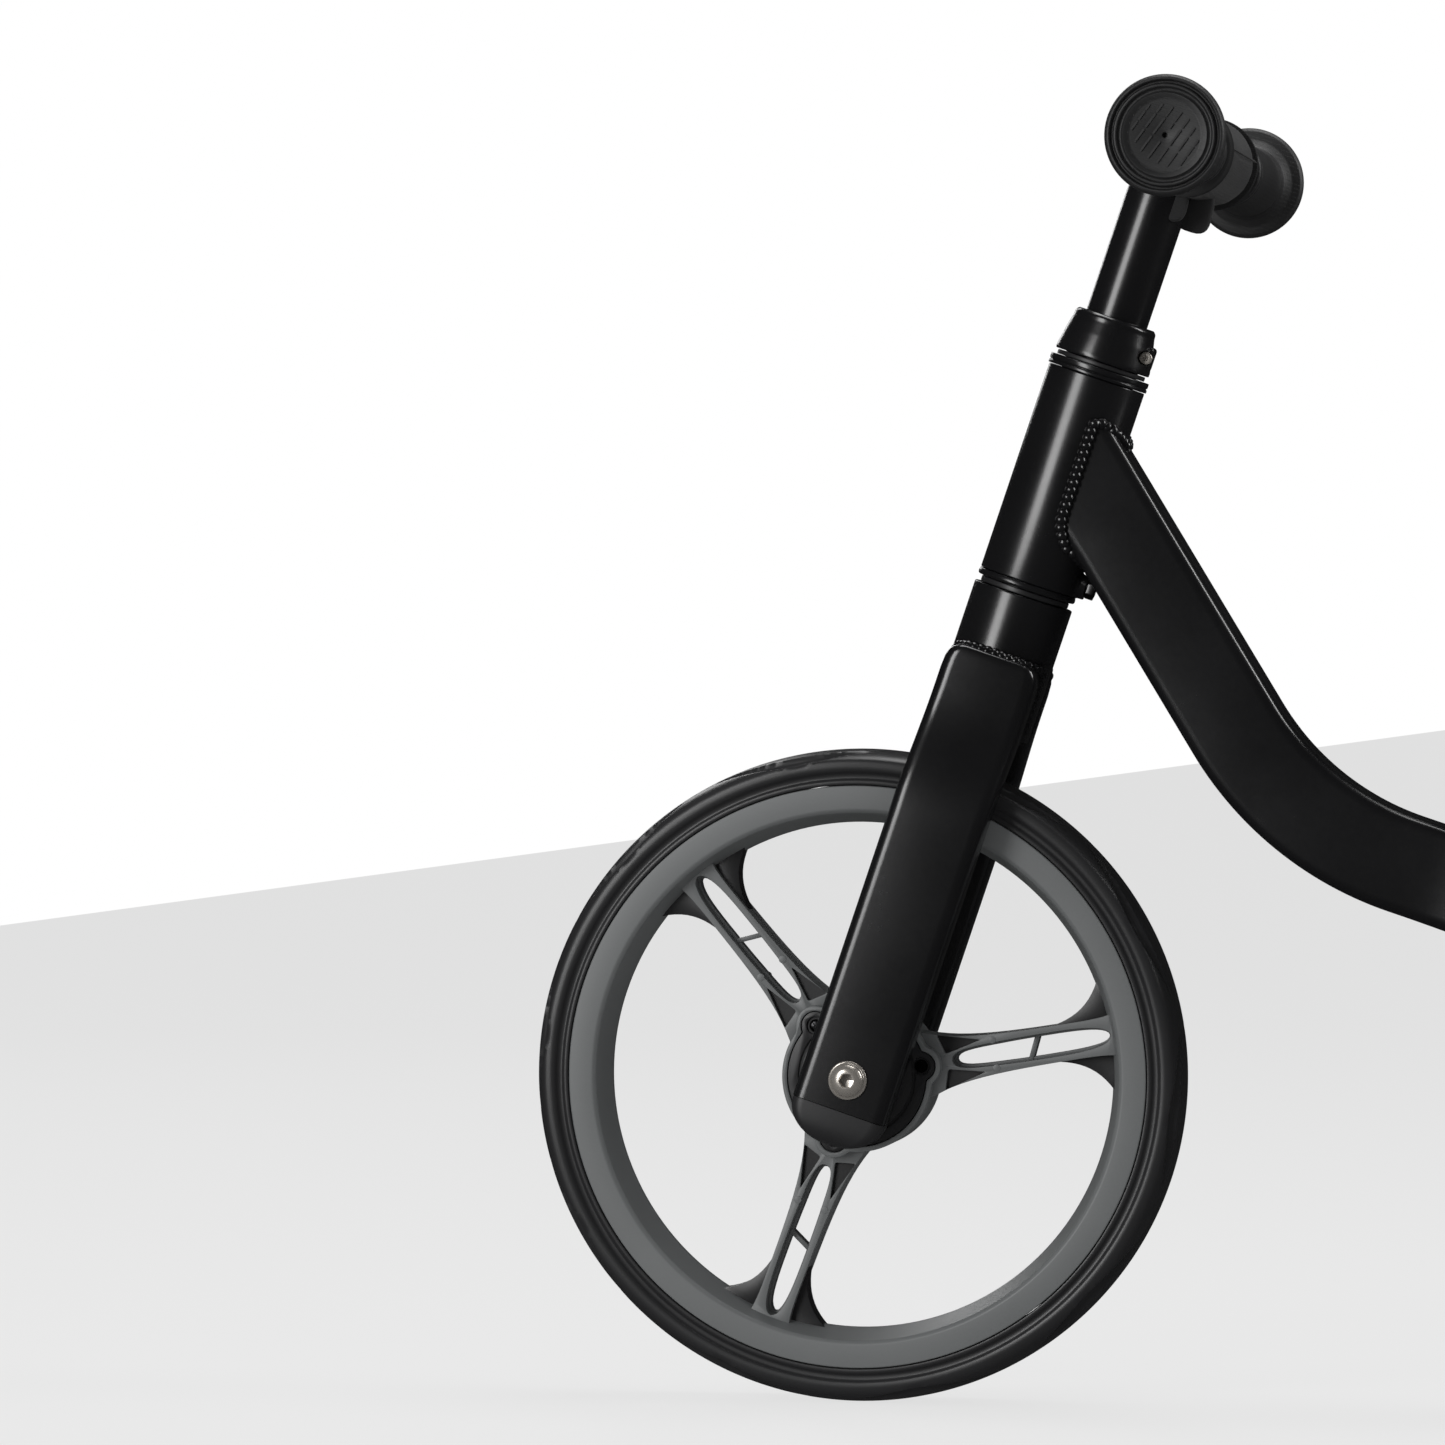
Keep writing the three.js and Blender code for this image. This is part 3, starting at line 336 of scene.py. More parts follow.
carved = {"strength": -groove_depth * MM, "mid_level": 0, "vertex_group": "crescents"}
finished(tyre, "DISPLACE", carved)
tyre.vertex_groups.clear()
smoothed(tyre, 50)

tyre_foam = surface("tyre_foam", (0.010, 0.010, 0.0105), (0.017, 0.017, 0.018),
                    0.3, 0.42, 1500, 9, 0.12, 0.08)
rear_tyre = copied(tyre, "rear_foam_tyre", wheelbase * MM)
tyre.name = "front_foam_tyre"
dressed(tyre, tyre_foam, "front_wheel", "tyre", "front_tyre")
dressed(rear_tyre, tyre_foam, "rear_wheel", "tyre", "rear_tyre")


# Rims: rim, three split spokes and hub are one grey glass-filled nylon moulding. Each spoke is
# two bars round a slim opening, with a stepped edge, a slanted brace, webs that flare to the rim
# and blind pockets beside the hub with the marks of the ejector pins. The webs and the pockets'
# floors are made as black pieces: painted shade for the shade that falls on the grey nylon there.
def prism(name, corners, rise):
    """A flat outline of (x, y, z) millimetres, filled and thickened by rise."""
    piece = wire(name, [Vector(corner) * MM for corner in corners])
    bpy.ops.mesh.edge_face_add()
    bpy.ops.mesh.extrude_region_move(TRANSFORM_OT_translate={"value": Vector(rise) * MM})
    closed_up()
    return piece


def slab(name, corners, low, high):
    """A flat outline of (x, z) millimetres, thickened along Y from low to high."""
    return prism(name, [(x, low, z) for x, z in corners], (0, high - low, 0))


def regular(count, radius):
    """The corners of a polygon, from one on the first axis."""
    turns = [2 * math.pi * k / count for k in range(count)]
    return [(radius * math.cos(turn), radius * math.sin(turn)) for turn in turns]


def cut(piece, *tools):
    for tool in tools:
        finished(piece, "BOOLEAN", {"operation": "DIFFERENCE", "solver": "EXACT", "object": tool})
        bpy.data.objects.remove(tool)
    return piece


def joined(piece, *others):
    only(piece)
    for other in others:
        other.select_set(True)
    bpy.ops.object.join()
    return piece


def eased_edges(piece, width, segments=2, angle=40):
    value = {"width": width * MM, "segments": segments, "limit_method": "ANGLE",
             "angle_limit": math.radians(angle), "use_clamp_overlap": True, "miter_outer": "MITER_ARC"}
    finished(piece, "BEVEL", value)
    return smoothed(piece, 35)


def curve_points(start, first, second, end, steps=8):
    """Points of a cubic curve, without its start."""
    a, b, c, d = (Vector(p) for p in (start, first, second, end))
    made = []
    for k in range(1, steps + 1):
        t = k / steps
        u = 1 - t
        made.append(tuple(a * u**3 + b * 3 * u * u * t + c * 3 * u * t * t + d * t**3))
    return made


spoke_turns = [Matrix.Rotation(math.radians(-turn), 4, "Y") for turn in (10, 130, 250)]
hub_radius = 34
lobe_radius = 9
lobe_centre = 29.5


def lobed(offset, steps=180):
    """The hub's outline: a round with a lobe towards each spoke, grown by offset."""
    corners = []
    for k in range(steps):
        turn = 2 * math.pi * k / steps
        away = (turn - math.radians(10) + math.pi / 3) % (2 * math.pi / 3) - math.pi / 3
        round_part = hub_radius + offset
        lobe_part = 0
        inside = (lobe_radius + offset) ** 2 - (lobe_centre * math.sin(away)) ** 2
        if inside > 0:
            lobe_part = lobe_centre * math.cos(away) + math.sqrt(inside)
        gap = abs(round_part - lobe_part)
        reach = max(round_part, lobe_part) + (max(0, 1.2 - gap) ** 2) / 5
        corners.append((reach * math.cos(turn), reach * math.sin(turn)))
    return corners


def spoke_opening(inset):
    """The slim opening between a spoke's two bars, made smaller by inset."""
    start, end, half = 43 + inset, 116 - inset, 5.7 - inset
    waist = start + 0.62 * (end - start)
    throat = (start + 22, 0.94 * half)
    upper = curve_points((start, 0), (start, 0.8 * half), (start + 8, half * 0.86), throat, 8)
    upper += curve_points(throat, (waist - 14, half), (waist - 6, half), (waist, half), 6)
    upper += curve_points((waist, half), (waist + 14, half), (end - 0.5, 0.9 * half), (end, 0), 10)
    lower = [(x, -z) for x, z in reversed(upper[:-1])]
    return [(start, 0)] + upper + lower


def split_spoke():
    """One spoke, lying along +X."""
    root = [(32.6 * math.cos(a), 32.6 * math.sin(a)) for a in [math.radians(d) for d in range(-29, 30, 2)]]
    side = curve_points(root[-1], (44, 9.2), (62, 8.2), (100, 8.2), 12)
    side += curve_points(side[-1], (108, 8.2), (114, 8.4), (118, 9.6), 6)
    half = root[len(root) // 2 :] + side
    outline = half + [(x, -z) for x, z in reversed(half[1:])]
    body = slab("spoke", outline, -11, 11)
    cut(body, slab("opening", spoke_opening(0), -20, 20))
    for flank in (-1, 1):
        pocket = rounded([(40.5, flank * 3.4), (37.8, flank * 12.6), (57.5, flank * 7.3)], 1.2)
        for low, high in ((-12, -3), (3, 12)):
            cut(body, slab("pocket", pocket, low, high))
    eased_edges(body, 0.55)
    ledge = slab("ledge", spoke_opening(-0.5), -3.2, 3.2)
    cut(ledge, slab("opening", spoke_opening(1.4), -20, 20))
    eased_edges(ledge, 0.3)
    lean = math.radians(-25)
    across, along = math.cos(lean), math.sin(lean)
    ends = [(-1.1, -6.2), (1.1, -6.2), (1.1, 6.2), (-1.1, 6.2)]
    slant = [(80 + x * across - z * along, x * along + z * across) for x, z in ends]
    brace = eased_edges(slab("brace", slant, -3.6, 3.6), 0.4)
    parts = [ledge, brace]
    for flank in (-1, 1):
        for face in (-1, 1):
            mark = [(62.5 + x, flank * 6.48 + z) for x, z in regular(24, 1.7)]
            low, high = sorted((face * 10.7, face * 11.2))
            parts.append(eased_edges(slab("pin_mark", mark, low, high), 0.12))
    return joined(body, *parts)


barrel_corners = [(131.2, 21), (131.2, 13.5), (126.2, 13.5), (126.2, -13.5), (131.2, -13.5),
                  (131.2, -21), (120.4, -21), (118.9, -19.6), (114.4, -2), (114.4, 2),
                  (118.9, 19.6), (120.4, 21)]
moulding = turned("rim_moulding", rounded(barrel_corners, 0.7), along_axle, 192)
spoke = split_spoke()
spokes = [moved(copied(spoke, "spoke_copy"), spoke_turn) for spoke_turn in spoke_turns]
bpy.data.objects.remove(spoke)
hub_wall = slab("hub_wall", lobed(0), -18, 18)
cut(hub_wall, slab("hub_room", lobed(-2.3), -30, 30))
eased_edges(hub_wall, 0.6)
hub_floor = smoothed(slab("hub_floor", lobed(-1), -9, 9))
sleeve_corners = rounded([(11.3, 8), (14, 8), (14, 18), (11.3, 18)], 0.5)
sleeves = [turned("hub_sleeve", [(r, side * z) for r, z in sleeve_corners], along_axle, 64)
           for side in (-1, 1)]
joined(moulding, *spokes, hub_wall, hub_floor, *sleeves)
moved(moulding, front_axle)

rim_nylon = surface("rim_nylon", (0.082, 0.086, 0.087), (0.113, 0.118, 0.119),
                    0.36, 0.5, 1300, 10, 0.16, 0.1)
rear_moulding = copied(moulding, "rear_rim_moulding", wheelbase * MM)
moulding.name = "front_rim_moulding"
dressed(moulding, rim_nylon, "front_wheel", "rim", "front_rim")
dressed(rear_moulding, rim_nylon, "rear_wheel", "rim", "rear_rim")

black_nylon = surface("black_nylon", (0.0085, 0.0085, 0.009), (0.016, 0.016, 0.017),
                      0.32, 0.46, 1400, 14, 0.18, 0.1)
# Painted shade: the webs and pocket plugs below are black-nylon pieces. The real webs and pocket floors
# are grey nylon, and their black stands in for the shade that falls on them.
web_side = curve_points((84, 7.4), (98, 8.8), (107, 13), (113, 25), 12)
painted_shade_pieces = []
web_corners = [(84, 7.4)] + web_side + [(118, 25), (118, 7.5), (84, 7.2)]
for spoke_turn in spoke_turns:
    for flank in (-1, 1):
        web = slab("web", [(x, flank * z) for x, z in web_corners], -6, 6)
        painted_shade_pieces.append(moved(eased_edges(web, 0.5), front_axle @ spoke_turn))
        # Each plug is a dark sheet in a pocket where there is only shade: painted shade.
        outline = rounded([(40.2, flank * 3.6), (37.9, flank * 12.3), (57.1, flank * 7.2)], 1.2)
        shade_plug = slab("pocket_shade_plug", outline, -8.2, 8.2)
        painted_shade_pieces.append(moved(shade_plug, front_axle @ spoke_turn))
painted_shade_plugs = joined(painted_shade_pieces[0], *painted_shade_pieces[1:])
rear_shade_plugs = copied(painted_shade_plugs, "rear_painted_shade_plugs", wheelbase * MM)
painted_shade_plugs.name = "front_painted_shade_plugs"
dressed(painted_shade_plugs, black_nylon, "front_wheel", "black_plastic")
dressed(rear_shade_plugs, black_nylon, "rear_wheel", "black_plastic")


# Hub covers: black injection-moulded discs let into the hub on each side, with a raised band
# round the axle, a shallow ring groove, and three small recessed screws through the lobes.
cover = slab("hub_cover", lobed(-2.7), 13.3, 17.3)
cut(cover, slab("cover_bore", regular(64, 14.4), 5, 30))
groove_ring = turned("ring_groove", [(25.2, 16.3), (26.8, 16.3), (26.8, 19), (25.2, 19)], along_axle, 64)
cut(cover, groove_ring)
for spoke_turn in spoke_turns:
    dish = turned("screw_dish", [(0, 16.1), (3.9, 16.1), (4.3, 18), (0, 18)], along_axle, 32)
    aside = spoke_turn @ Matrix.Translation((lobe_centre * MM, 0, 0))
    cut(cover, moved(dish, aside))
eased_edges(cover, 0.4)
band_corners = [(15.4, 16.6), (15.4, 18.9), (20.6, 18.9), (21.6, 16.6)]
band = turned("cover_band", rounded(band_corners, 0.6), along_axle, 96)
joined(cover, band)
moved(cover, front_axle)

screws = []
screw_corners = [(0, 15.2), (3, 15.2), (3, 16.6), (2.1, 17.7), (0, 18.1)]
for spoke_turn in spoke_turns:
    head = turned("cover_screw", rounded(screw_corners, 0.4), along_axle, 32)
    for x, z in ((0.35, 1.7), (1.7, 0.35)):
        cut(head, slab("cross", [(-x, -z), (x, -z), (x, z), (-x, z)], 17.1, 20))
    aside = spoke_turn @ Matrix.Translation((lobe_centre * MM, 0, 0))
    screws.append(smoothed(moved(head, front_axle @ aside)))

screw_black = surface("screw_black", (0.02, 0.02, 0.021), (0.05, 0.05, 0.052),
                      0.2, 0.34, 2200, 60, 0.05, 0.05)
screw_black.node_tree.nodes["Principled BSDF"].inputs["Metallic"].default_value = 1
for shift, wheel in ((0, "front"), (wheelbase * MM, "rear")):
    right = copied(cover, wheel + "_cover_right", shift)
    left = mirrored(right, wheel + "_cover_left")
    dressed(right, black_nylon, wheel + "_wheel", "black_plastic", wheel + "_hub_cover_right")
    dressed(left, black_nylon, wheel + "_wheel", "black_plastic", wheel + "_hub_cover_left")
    for number, screw in enumerate(screws, 1):
        away = copied(screw, f"{wheel}_screw_{number}_right", shift)
        near = mirrored(away, f"{wheel}_screw_{number}_left")
        dressed(away, screw_black, wheel + "_wheel", "fastener")
        dressed(near, screw_black, wheel + "_wheel", "fastener", f"{wheel}_cover_screw_{number}")
for spare in (cover, *screws):
    bpy.data.objects.remove(spare)


# Axle hardware: plated button-head bolts with a washer face and a hexagon socket, black stepped
# spacers, and the sealed bearings and axle tubes that the bolts clamp.
near_side = Matrix.Rotation(math.radians(90), 4, "X")
bolt_profile = [(0, 45.8), (8.7, 45.8), (8.7, 46.7), (7.6, 47.0), (7.1, 48.4), (5.6, 49.8),
                (3.9, 50.4), (0, 50.4)]
bolt = turned("axle_bolt", rounded(bolt_profile, 0.6), front_axle @ near_side, 96)
socket = prism("socket", [(x, -46.2, z) for x, z in regular(6, 3.5)], (0, -6, 0))
cut(bolt, moved(socket, front_axle))
eased_edges(bolt, 0.18, 2, 50)
spacer_profile = [(6.4, 18.4), (12.5, 18.4), (12.5, 19.8), (9, 19.8), (9, 25.2), (6.4, 25.2)]
spacer = turned("spacer", rounded(spacer_profile, 0.3), front_axle @ near_side, 64)

plated_steel = surface("plated_steel", (0.50, 0.465, 0.42), (0.62, 0.58, 0.53),
                       0.2, 0.3, 700, 40, 0.03, 0.05)
plated_steel.node_tree.nodes["Principled BSDF"].inputs["Metallic"].default_value = 0.8
for shift, wheel, body in ((0, "front", "fork"), (wheelbase * MM, "rear", "frame")):
    left = copied(bolt, wheel + "_button_bolt_left", shift)
    right = mirrored(left, wheel + "_button_bolt_right")
    dressed(left, plated_steel, body, "fastener", wheel + "_axle_bolt_left")
    dressed(right, plated_steel, body, "fastener", wheel + "_axle_bolt_right")
    left = copied(spacer, wheel + "_stepped_spacer_left", shift)
    right = mirrored(left, wheel + "_stepped_spacer_right")
    dressed(left, black_nylon, body, "black_plastic", wheel + "_spacer_left")
    dressed(right, black_nylon, body, "black_plastic", wheel + "_spacer_right")
    for part in ("_axle", "_bearing_left", "_bearing_right"):
        nodes[wheel + part].data.materials.clear()
        nodes[wheel + part].data.materials.append(plated_steel)
for spare in (bolt, spacer):
    bpy.data.objects.remove(spare)


# Fork: two legs of flat rounded aluminium tube, stepped in at the top and welded to the crown
# tube in rippled beads, then powder-coated satin black. Moulded caps close the legs.
head_angle = math.radians(18.3)
steering = front_axle @ Matrix.Rotation(head_angle, 4, "Y")
flat_section = rounded([(10, -22), (10, 22), (-10, 22), (-10, -22)], 6, 6)


def swept(name, rings):
    """A closed tube through rings of points in metres, all with the same count."""
    tube = wire(name, rings[0])
    bpy.ops.mesh.edge_face_add()
    bpy.ops.mesh.select_all(action="SELECT")
    for before, ring in zip(rings, rings[1:]):
        bpy.ops.mesh.extrude_region_move()
        mesh = bmesh.from_edit_mesh(tube.data)
        fresh = [v for v in mesh.verts if v.select]
        for vertex in fresh:
            nearest = min(range(len(before)), key=lambda k: (before[k] - vertex.co).length_squared)
            vertex.co = ring[nearest]
        bmesh.update_edit_mesh(tube.data)
    closed_up()
    return smoothed(tube, 42)


def flat_ring(centre, across, upright, wide=1.0, tall=1.0):
    return [centre + (across * a * wide + upright * b * tall) * MM for a, b in flat_section]


def step(value, low, high):
    t = min(1, max(0, (value - low) / (high - low)))
    return t * t * (3 - 2 * t)


def bead(name, path, radius, pitch=2.1):
    """A weld bead of overlapping ripples along points in metres."""
    steps = [0.0]
    for a, b in zip(path, path[1:]):
        steps.append(steps[-1] + (b - a).length)
    count = max(8, int(steps[-1] / (pitch * MM / 5)))
    bpy.ops.object.select_all(action="DESELECT")
    bpy.ops.curve.primitive_bezier_curve_add()
    line = bpy.context.object
    line.data.splines.clear()
    spline = line.data.splines.new("POLY")
    spline.points.add(count)
    reach = 0
    for k in range(count + 1):
        at = steps[-1] * k / count
        while reach < len(steps) - 2 and steps[reach + 1] < at:
            reach += 1
        t = (at - steps[reach]) / max(1e-9, steps[reach + 1] - steps[reach])
        spline.points[k].co = (*path[reach].lerp(path[reach + 1], t), 1)
        ripple = (at / (pitch * MM)) % 1
        ending = min(1, 0.45 + 6 * k / count, 0.45 + 6 * (count - k) / count)
        spline.points[k].radius = (0.74 + 0.34 * math.sin(math.pi * ripple) ** 0.7) * ending
    line.data.dimensions = "3D"
    line.data.bevel_depth = radius * MM
    line.data.bevel_resolution = 2
    line.data.use_fill_caps = True
    bpy.ops.object.convert(target="MESH")
    weld = bpy.context.object
    weld.name = name
    bpy.ops.object.mode_set(mode="EDIT")
    closed_up()
    return smoothed(weld, 50)


leg_rings = []
leg_bottom = -14.3
beside_wheel, beside_crown = 35.5, 23.5
straight = [(height, 1, 1) for height in (leg_bottom, 0, 60, *range(120, 188, 4))]
top_end = [(188, 1, 1), (193.4, 1, 0.985), (196.4, 0.99, 0.95), (198.6, 0.97, 0.89),
           (200, 0.92, 0.80), (200.6, 0.84, 0.68)]
for height, wide, tall in straight + top_end:
    beside = beside_wheel - (beside_wheel - beside_crown) * step(height, 124, 180)
    centre = Vector((0, -beside, height)) * MM
    leg_rings.append(flat_ring(centre, Vector((0, 1, 0)), Vector((1, 0, 0)), wide, tall))
leg = moved(swept("leg", leg_rings), steering)
across_crown = [Vector((24.0 * math.sin(a), -24.0 * math.cos(a), 200.6 - 1.6 * math.sin(a) ** 2)) * MM
                for a in [math.radians(d) for d in range(-56, 57, 4)]]
down_crown = [Vector((20.6, -12.4, z)) * MM for z in (197, 190, 182, 173, 165)]
leg_weld = moved(bead("leg_weld", across_crown + down_crown, 2.6, 3.4), steering)
up_crown = [Vector((-20.6, -12.4, z)) * MM for z in (199, 188, 176, 165)]
fore_weld = moved(bead("fore_weld", up_crown, 1.9, 3.0), steering)
joined(leg, leg_weld, fore_weld)

cap_reach = 16.5
cap_rings = []
for part in range(15):
    t = math.sin(part / 14 * math.pi / 2) * 0.996
    tall = (1 - t**2.15) ** (1 / 2.0)
    wide = (1 - t**5) ** (1 / 3.2)
    centre = Vector((0, -beside_wheel, leg_bottom - 0.3 - cap_reach * t)) * MM
    cap_rings.append(flat_ring(centre, Vector((0, 1, 0)), Vector((1, 0, 0)), 0.985 * wide, 0.99 * tall))
leg_cap = moved(swept("leg_cap", cap_rings), steering)

crown_profile = [(14.8, 166), (23, 166), (23, 229), (17, 229), (17, 353.5), (14.8, 353.5)]
crown = turned("crown_tube", rounded(crown_profile, 0.7), steering, 96)

satin_black = surface("satin_black", (0.003, 0.003, 0.0032), (0.0055, 0.0055, 0.006),
                      0.2, 0.28, 520, 16, 0.014, 0.04)
satin_black.node_tree.nodes["Principled BSDF"].inputs["Coat Weight"].default_value = 0.25
satin_black.node_tree.nodes["Principled BSDF"].inputs["Coat Roughness"].default_value = 0.16
dressed(crown, satin_black, "fork", "frame_paint", "fork_steerer")
dressed(mirrored(leg, "right_fork_leg"), satin_black, "fork", "frame_paint", "fork_leg_right")
dressed(mirrored(leg_cap, "right_fork_cap"), black_nylon, "fork", "black_plastic", "fork_end_cap_right")
leg.name, leg_cap.name = "left_fork_leg", "left_fork_cap"
dressed(leg, satin_black, "fork", "frame_paint", "fork_leg_left")
dressed(leg_cap, black_nylon, "fork", "black_plastic", "fork_end_cap_left")


# Head tube and headset: a plain tube with pressed-in cups, glossy rings that turn with the
# fork, and a hexagon-headed stop bolt in a welded boss at the back.
shell_corners = [(20.6, 235.5), (22.5, 235.5), (22.5, 332), (20.6, 332)]
head = turned("head_shell", rounded(shell_corners, 0.5), steering, 128)
boss_axis = steering @ Matrix.Translation((0, 0, 241 * MM)) @ Matrix.Rotation(math.radians(90), 4, "Y")
boss_corners = [(3.3, 21.6), (6.6, 21.6), (5.6, 23.2), (5.5, 26), (3.3, 26)]
boss = turned("stop_boss", rounded(boss_corners, 0.4), boss_axis, 48)
joined(head, boss)
dressed(head, satin_black, "frame", "frame_paint", "head_tube")
lower_corners = [(17.4, 232.2), (22.5, 232.2), (22.9, 233.4), (22.5, 235.2), (17.4, 235.2)]
lower_cup = turned("cup_below", rounded(lower_corners, 0.5), steering, 128)
dressed(lower_cup, satin_black, "frame", "frame_paint", "headset_cup_lower")
upper_corners = [(17.4, 332.3), (23.1, 332.3), (23.1, 333.7), (22.6, 334.0), (22.6, 334.3),
                 (23.1, 334.6), (23.1, 336.8), (17.4, 336.8)]
upper_cup = turned("cup_above", rounded(upper_corners, 0.35), steering, 128)
dressed(upper_cup, satin_black, "frame", "frame_paint", "headset_cup_upper")
for name, low, high, node in (("ring_below", 229.4, 231.8, "headset_ring_lower"),
                              ("ring_above", 337.1, 339.1, "headset_ring_upper")):
    ring_corners = [(17.4, low), (20.6, low), (20.6, high), (17.4, high)]
    ring = turned(name, rounded(ring_corners, 0.4), steering, 96)
    dressed(ring, black_nylon, "fork", "black_plastic", node)

stop = prism("stop_bolt", [(x, y, 26.3) for x, y in regular(6, 4.7)], (0, 0, 3.9))
moved(eased_edges(stop, 0.45), boss_axis)
shank_corners = [(0, 15.6), (2.9, 15.6), (2.9, 26.6), (0, 26.6)]
stop_shank = turned("stop_shank", rounded(shank_corners, 0.3), boss_axis, 32)
joined(stop, stop_shank)
dark_steel = surface("dark_steel", (0.055, 0.055, 0.056), (0.10, 0.10, 0.10),
                     0.24, 0.4, 900, 60, 0.05, 0.05)
dark_steel.node_tree.nodes["Principled BSDF"].inputs["Metallic"].default_value = 1
dressed(stop, dark_steel, "frame", "fastener", "steering_stop_bolt")


# Stem collar: a conical alloy clamp with a stepped top, split at the back, with a lug on each
# side of the split and a plated cap screw through them. The saddle's clamp is its plain cousin.
def box(name, low, high):
    corners = [(low[0], low[2]), (high[0], low[2]), (high[0], high[2]), (low[0], high[2])]
    return slab(name, corners, low[1], high[1])


def split_clamp(name, profile, tube, reach, bolt_height, place):
    """A turned clamp with its lug, slot and screw hole, and the screw."""
    unplaced = Matrix.Identity(4)
    clamp = turned(name, profile, unplaced, 96)
    lug = box("lug", (tube + 0.7, -7, bolt_height - 5.5), (tube + reach, 7, bolt_height + 5.5))
    eased_edges(lug, 1.6, 3)
    finished(clamp, "BOOLEAN", {"operation": "UNION", "solver": "EXACT", "object": lug})
    bpy.data.objects.remove(lug)
    cut(clamp, box("slot", (tube - 3, -1, bolt_height - 30), (tube + 20, 1, bolt_height + 30)))
    bolt_centre = Vector((tube + reach / 2 - 0.4, 0, bolt_height)) * MM
    across = Matrix.Translation(bolt_centre) @ Matrix.Rotation(math.radians(90), 4, "X")
    cut(clamp, turned("head_room", [(0, 4.4), (3.2, 4.4), (3.2, 14), (0, 14)], across, 32))
    eased_edges(clamp, 0.35)
    head_corners = [(0, 4.7), (2.9, 4.7), (2.9, 7.2), (2.5, 7.5), (0, 7.5)]
    screw = turned(name + "_screw", rounded(head_corners, 0.3), unplaced, 48)
    cut(screw, prism("hexagon", [(x, y, 5.9) for x, y in regular(6, 1.5)], (0, 0, 4)))
    shank = turned("shank", rounded([(0, -7), (1.9, -7), (1.9, 5), (0, 5)], 0.2), unplaced, 24)
    joined(screw, shank)
    moved(smoothed(screw), place @ across)
    return moved(clamp, place), screw


collar_profile = [(17.4, 339.5), (21.9, 339.5), (22, 341.2), (20.4, 350.4), (19.0, 356.6),
                  (18.9, 358.6), (17.6, 360), (14.7, 360), (14.7, 354.4), (17.4, 354.4)]
collar, collar_screw = split_clamp("bar_clamp", rounded(collar_profile, 0.6), 17, 4.4, 347.4, steering)
dressed(collar, satin_black, "fork", "frame_paint", "stem_collar")
dressed(collar_screw, plated_steel, "fork", "fastener", "stem_clamp_bolt")


# Handlebar: a round steel stem and a crossbar with a gentle rearward bend, both painted, with
# soft thermoplastic grips that end in wide ringed flanges.
bar_height = 440.4
bar_front, bar_back = 5, 16.7  # how far the bar's middle and its ends lie behind the stem's axis
bar_radius = 11.1
stem = turned("bar_stem", rounded([(12.3, 270), (14.3, 270), (14.3, 439), (12.3, 439)], 0.3), steering, 96)


def bar_line(y):
    """How far the crossbar lies behind the stem's axis, y off its middle."""
    return bar_front + (bar_back - bar_front) * step(abs(y), 32, 74)


def round_rings(ys, radius, count=40):
    rings = []
    for y in ys:
        slope = (bar_line(y + 0.5) - bar_line(y - 0.5))
        out = Vector((1, -slope, 0)).normalized()
        centre = Vector((bar_line(y), y, bar_height))
        rings.append([(centre + (out * math.cos(a) + Vector((0, 0, 1)) * math.sin(a)) * radius) * MM
                      for a in [2 * math.pi * k / count for k in range(count)]])
    return rings


bar_ys = [-185, -184.6] + [y for y in range(-76, 77, 4)] + [184.6, 185]
crossbar = moved(swept("bar_cross", round_rings(bar_ys, bar_radius)), steering)
dressed(stem, satin_black, "handlebar", "frame_paint", "handlebar_stem")
dressed(crossbar, satin_black, "handlebar", "frame_paint", "handlebar_crossbar")

bar_end = steering @ Matrix.Translation((bar_back * MM, 0, bar_height * MM))
grip_place = bar_end @ Matrix.Rotation(math.radians(90), 4, "X")
grip_profile = [(11.5, 80), (15.0, 80), (16.0, 81.2), (16.0, 86), (15.4, 86.8), (15.4, 88.2),
                (16.0, 89), (16.0, 177), (17.2, 181.5), (20.8, 184.2), (24.6, 185.0),
                (26.0, 186.8), (26.0, 189.0), (25.2, 191.2), (24.2, 191.9), (23.5, 191.7),
                (23.0, 189.9), (22.2, 189.9), (21.7, 191.8), (20.6, 191.9), (19.9, 189.9),
                (18.9, 189.8), (18.0, 190.9), (15.5, 189.8), (1.1, 189.6), (1.1, 186.5),
                (0, 186.5), (0, 185.6), (11.5, 185.6)]
grip = turned("grip", rounded(grip_profile, 0.5, 2), grip_place, 128)
ribs = []
rib_lean = math.radians(-18)
rib_pitch = 4.3
for row in range(-3, 4):
    half = 0.78 * math.sqrt(15.5**2 - (rib_pitch * row) ** 2)
    for low, high in ((-half, -0.3 * half), (-0.22 * half, 0.5 * half), (0.56 * half, half)):
        if row == 0:
            low, high = (low, -3.2) if high < 0.1 * half and low < -3.2 else (max(low, 3.2), high)
        flat = [(-0.42, low), (0.42, low), (0.42, high), (-0.42, high)]
        corners = [((rib_pitch * row + a) * math.cos(rib_lean) - b * math.sin(rib_lean),
                    (rib_pitch * row + a) * math.sin(rib_lean) + b * math.cos(rib_lean))
                   for a, b in flat]
        if high - low > 1:
            rib = slab("rib", rounded(corners, 0.4, 2), -190.35, -189.4)
            ribs.append(smoothed(moved(rib, bar_end)))
joined(grip, *ribs)

